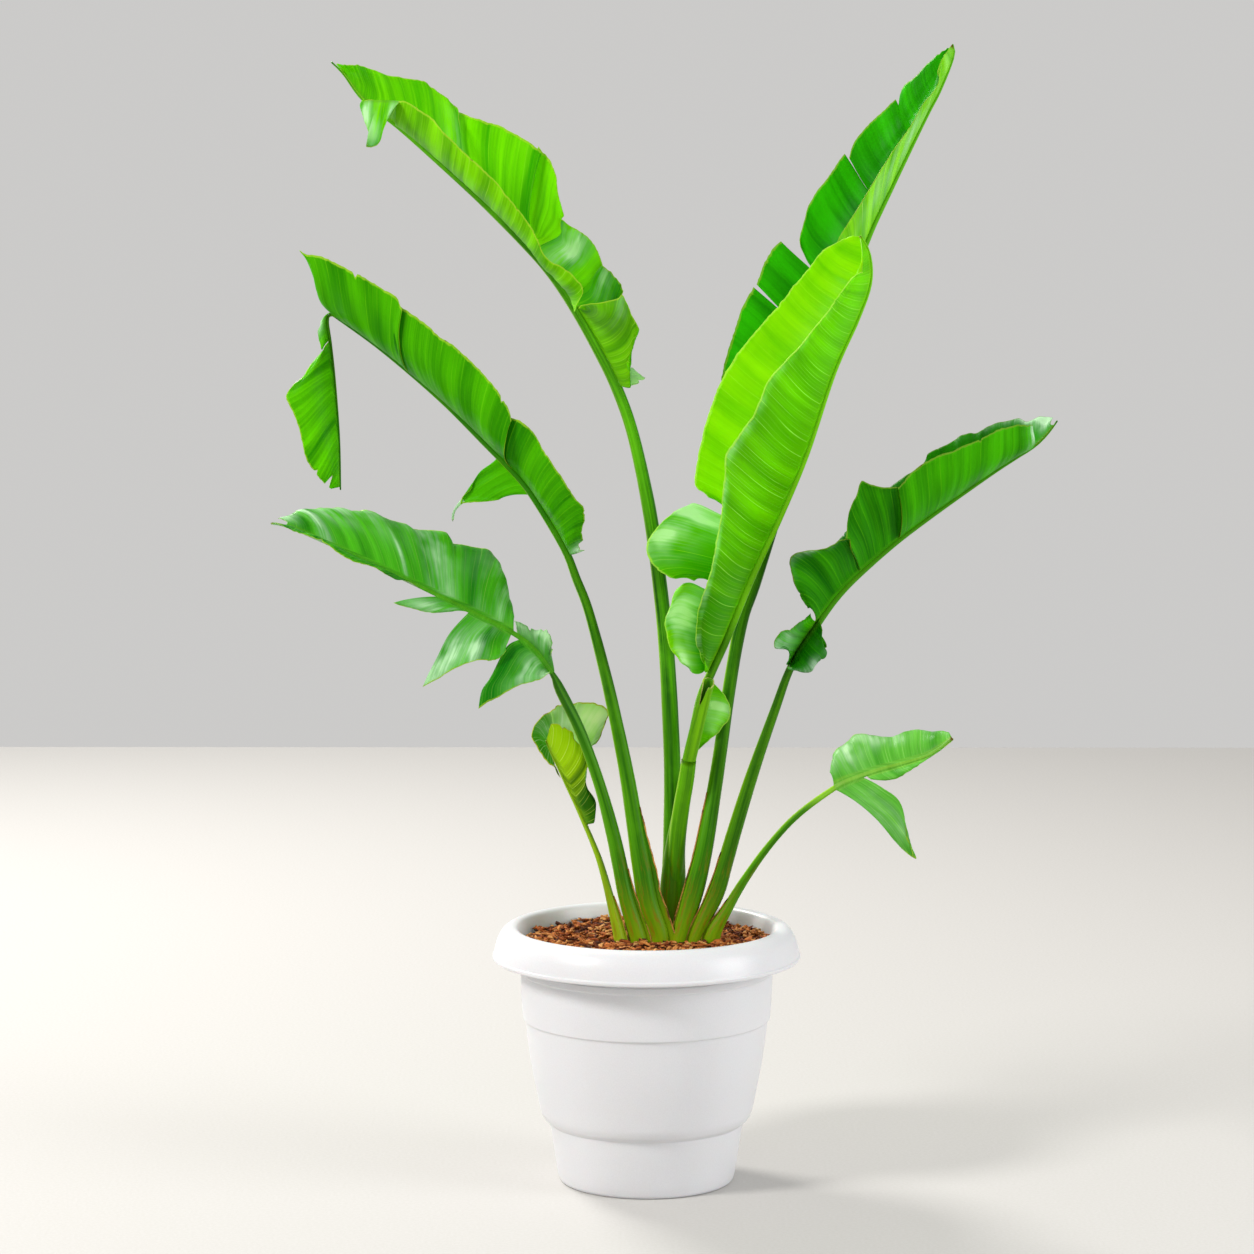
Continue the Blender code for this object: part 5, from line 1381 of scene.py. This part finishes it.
def build_mulch():
    """A lumpy layer with loose bark chips lying on it, each its own shape and brown."""
    rng = np.random.default_rng(MULCH_SEED)
    parts = MeshParts()
    angles = angles_round(MULCH_SIDES)
    r, a = np.meshgrid(np.linspace(2.0, INNER_RADIUS - 1.6, MULCH_RINGS), angles, indexing="ij")
    x, y = r * np.cos(a), r * np.sin(a)
    surface = np.stack([x, y, mulch_height(x, y, r)], axis=-1)
    top = parts.add_vertices(surface, leaf=np.full((r.size, 2), 0.12)).reshape(r.shape)
    low = parts.add_vertices(level_ring(INNER_RADIUS - 2.6, SOIL_LEVEL + 0.4, angles))
    parts.add_grid(np.concatenate([top, low[None]]), closed=True)
    parts.add_faces([top[0][::-1], low])
    feet = stalk_feet()
    shares = [size[0] for size in CHIP_SIZES]
    placed = 0
    while placed < CHIP_COUNT:
        reach = (INNER_RADIUS - 4) * math.sqrt(rng.uniform(0, 1))
        turn = rng.uniform(0, 2 * math.pi)
        x, y = reach * math.cos(turn), reach * math.sin(turn)
        if any(((x - fx) / (fw + 0.5)) ** 2 + ((y - fy) / (fd + 0.5)) ** 2 < 1 for fx, fy, fw, fd in feet):
            continue
        _, shortest, longest, broader = CHIP_SIZES[rng.choice(len(CHIP_SIZES), p=shares)]
        length = rng.uniform(shortest, longest)
        width = rng.uniform(1.6, 3.8) * broader
        thick = rng.uniform(0.8, 2.2)
        height = float(mulch_height(x, y, math.hypot(x, y))) + rng.uniform(0.4, 4.4)
        add_chip(parts, rng, (x, y, height), length, width, thick)
        placed += 1
    declare(parts.build("palm_bark_chips", [bark_skin()]), "bark_chips")


def add_chip(parts, rng, centre, length, width, thick):
    """One splintered chip: a bent, tapering bar with uneven sides."""
    along = np.linspace(-0.5, 0.5, CHIP_SECTIONS)
    yaw = rng.uniform(0, 2 * math.pi)
    pitch = rng.normal(0, 0.30)
    limit = math.asin(min(0.9, 4.0 / length))
    pitch = max(-limit, min(limit, pitch))
    roll = rng.uniform(-0.5, 0.5)
    bend = rng.normal(0, 0.10) * length
    bend_up = rng.normal(0, 0.07) * length
    narrowing = 1 - rng.uniform(0.2, 0.7) * np.abs(along * 2) ** rng.uniform(1.2, 3.0)
    rows = []
    for t, share in zip(along, narrowing):
        corner = CHIP_OUTLINE + rng.normal(0, 0.09, CHIP_OUTLINE.shape)
        corner = corner * (width * share, thick * (0.6 + 0.4 * share))
        ragged = np.full(len(corner), t * length) + rng.normal(0, 0.25, len(corner))
        bow = 4 * t * t - 0.5
        rows.append(np.stack([ragged, corner[:, 0] + bend * bow, corner[:, 1] + bend_up * bow], axis=-1))
    cr, sr = math.cos(roll), math.sin(roll)
    cp, sp = math.cos(pitch), math.sin(pitch)
    cy, sy = math.cos(yaw), math.sin(yaw)
    yawed = np.array([[cy, -sy, 0], [sy, cy, 0], [0, 0, 1]])
    pitched = np.array([[cp, 0, -sp], [0, 1, 0], [sp, 0, cp]])
    rolled = np.array([[1, 0, 0], [0, cr, -sr], [0, sr, cr]])
    place = np.array(rows) @ (yawed @ pitched @ rolled).T + np.array(centre)
    out = np.hypot(place[..., 0], place[..., 1])
    limit = INNER_RADIUS - 0.8
    place[..., :2] *= np.where(out > limit, limit / np.maximum(out, 1e-6), 1.0)[..., None]
    shade = rng.uniform(0, 1)
    offset = rng.uniform(0, 50)
    shape = place.shape[:2]
    veins = pairs(along[:, None] * length / 10 + offset, np.arange(shape[1]) / shape[1])
    leaf = pairs(np.full(shape, shade), 0.5)
    index = parts.add_vertices(place, veins, leaf).reshape(shape)
    parts.add_grid(index, closed=True)
    parts.add_faces([index[0][::-1], index[-1]])


# ---------------------------------------------------------------- the smaller pieces


def build_broken_end():
    """The snapped tip of a leaf: a rib that hangs from the leaf's end, and its own blade."""
    look = LOOKS[BROKEN_LEAF]
    before, tip = np.array(LEAVES[BROKEN_LEAF]["rib"][-2:], float)
    curve = Curve([tip + unit(tip - before) * 0.3, *BROKEN_RIB])
    parts = MeshParts()
    steps = np.linspace(0, 1, max(12, round(curve.length / 5)))
    line = curve.at(steps)
    thick = 2 * taper(BROKEN_RADIUS, steps)
    _, up, _ = frame_along(line, BROKEN_BLADE["upper"])
    build_tube(parts, line, thick, thick, steps * curve.length, up, math.radians(60), 0.0 * steps, 5)
    rib = parts.build("palm_middle_left_snapped_rib", [stalk_skin("snapped_rib_skin", look["stalk"]), SHEATH])
    declare(rib, "middle_left_snapped_rib")
    fractions = blade_fractions(curve.length, BROKEN_BLADE["near"] + BROKEN_BLADE["far"])
    upper, rim = look["upper"], {"dark": look["rim"], "light": look["rim"]}
    materials = blade_materials("snapped", {**upper, **look["snapped"]},
                                {**upper, **look["under"], **look["snapped"]}, {**upper, **rim})
    blade = Blade(curve.at(fractions), taper(BROKEN_RADIUS, fractions), fractions, curve.length, BROKEN_BLADE,
                  BROKEN_SEED)
    declare(blade.build("palm_middle_left_snapped_blade", materials), "middle_left_snapped_blade")


def build_stub():
    """The cut stub of an old leaf: a thick-walled tube with a torn, pale lip and a slit on one side."""
    curve = Curve([(*point, width) for point, width in zip(STUB, STUB_WIDTHS)])
    steps = np.linspace(0, 1, STUB_RINGS)
    data = curve.at(steps)
    points, widths = data[:, :3], data[:, 3]
    along = tangents(points)
    across = unit(np.cross(along, VIEW))
    level = np.cross(across, along)
    angle = angles_round(STUB_SIDES)
    slit = np.maximum(0, -np.sin(angle - 0.45)) ** 14
    ragged = 1.6 * waves(angle * 10, 21, [9.0, 22.0]) + 4.0 * np.sin(angle) - 20.0 * slit
    lift = smoothstep(0.45, 1.0, steps)[:, None] * ragged[None, :]
    parts = MeshParts()
    grids = []
    for wall, lowest in ((0.0, 0), (STUB_WALL, STUB_FLOOR)):
        radius = widths / 2 - wall
        rows = (points[:, None] + across[:, None] * (radius[:, None] * np.cos(angle))[..., None]
                + level[:, None] * (radius[:, None] * np.sin(angle))[..., None])
        rows = (rows + along[:, None] * lift[..., None])[lowest:]
        veins = pairs(angle * 0.8, (steps[lowest:] * curve.length)[:, None] / 10)
        leaf = pairs(steps[lowest:][:, None], 0 * angle)
        grids.append(parts.add_vertices(rows, veins, leaf).reshape(rows.shape[:2]))
    outside, inside = grids
    parts.add_grid(outside, closed=True)
    parts.add_grid(inside[::-1], closed=True, mark=2)
    parts.add_grid(np.stack([outside[-1], inside[-1]]), closed=True, mark=1)
    parts.add_faces([outside[0]])
    parts.add_faces([inside[0][::-1]], 2)
    look = {**LOOKS["young"]["stalk"], "rib_from": 1.2, "light": rgb(122, 190, 6)}
    lip = {**look, "dark": rgb(120, 146, 40), "light": rgb(196, 206, 120)}
    inner = {**look, "dark": rgb(44, 110, 0), "light": rgb(96, 166, 10)}
    looks = {"stub_skin": look, "stub_lip": lip, "stub_inside": inner}
    skins = [stalk_skin(*one) for one in looks.items()]
    declare(parts.build("palm_young_stub", skins), "young_stub")


# ---------------------------------------------------------------- studio


# Area lights as discs: name, place, diameter in metres, power in watts, colour
LIGHTS = (
    ("key", (-2.8, -1.8, 2.7), 1.0, 110.0, (1.0, 0.985, 0.96)),
    ("fill", (3.0, -1.2, 1.3), 1.8, 56.0, (0.97, 0.985, 1.0)),
    ("back", (-1.8, 2.2, 2.6), 1.2, 100.0, (1.0, 0.98, 0.95)),
)
LIGHTS_AIM = (0.0, 0.0, 0.55)
CAMERA_PLACE = (0.0, -3.8, 0.974)
CAMERA_AIM = (-0.0195, 0.0, 0.558)
CAMERA_LENS = 110.7
# The floor's left, right, front and back, in metres
FLOOR = (-9, 9, -6, 3.1)


def look_at(thing, place, aim):
    """Puts a light or camera at a place, looking at a point."""
    thing.location = place
    thing.rotation_euler = (Vector(aim) - Vector(place)).to_track_quat("-Z", "Y").to_euler()


def build_studio():
    left, right, front, back = FLOOR
    mesh = bpy.data.meshes.new("studio_floor")
    corners = [(left, front, 0), (right, front, 0), (right, back, 0), (left, back, 0)]
    mesh.from_pydata(corners, [], [(0, 1, 2, 3)])
    mesh.materials.append(floor_skin())
    floor = link("studio_floor", mesh)

    scene = bpy.context.scene
    scene.world = bpy.data.worlds.new("studio")
    scene.world.use_nodes = True
    sky = scene.world.node_tree.nodes["Background"]
    sky.inputs["Color"].default_value = (1.0, 0.99, 0.975, 1.0)
    sky.inputs["Strength"].default_value = 0.6

    for name, place, size, power, colour in LIGHTS:
        light = bpy.data.lights.new(name, "AREA")
        light.shape = "DISK"
        light.size = size
        light.energy = power
        light.color = colour
        look_at(link(name, light), place, LIGHTS_AIM)

    camera = bpy.data.cameras.new("camera")
    camera.lens = CAMERA_LENS
    camera.sensor_width = 36.0
    camera.clip_start = 0.05
    camera.clip_end = 60.0
    scene.camera = link("camera", camera)
    look_at(scene.camera, CAMERA_PLACE, CAMERA_AIM)
    scene.view_settings.view_transform = "Standard"
    scene.view_settings.look = "None"


def paint_carried_nodes():
    """Soil and crown keep their CAD shape and get their own materials."""
    for node, material, slot_name in (("soil", soil_skin(), "potting_soil"),
                                      ("root_crown", crown_skin(), "crown_tissue")):
        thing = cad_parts[node]
        thing.material_slots[0].material = material


SHEATH = sheath_skin()
build_pot()
build_mulch()
paint_carried_nodes()
for number, (name, leaf) in enumerate(LEAVES.items()):
    build_leaf(name, leaf, LEAF_SEED + number)
build_broken_end()
build_stub()
build_studio()
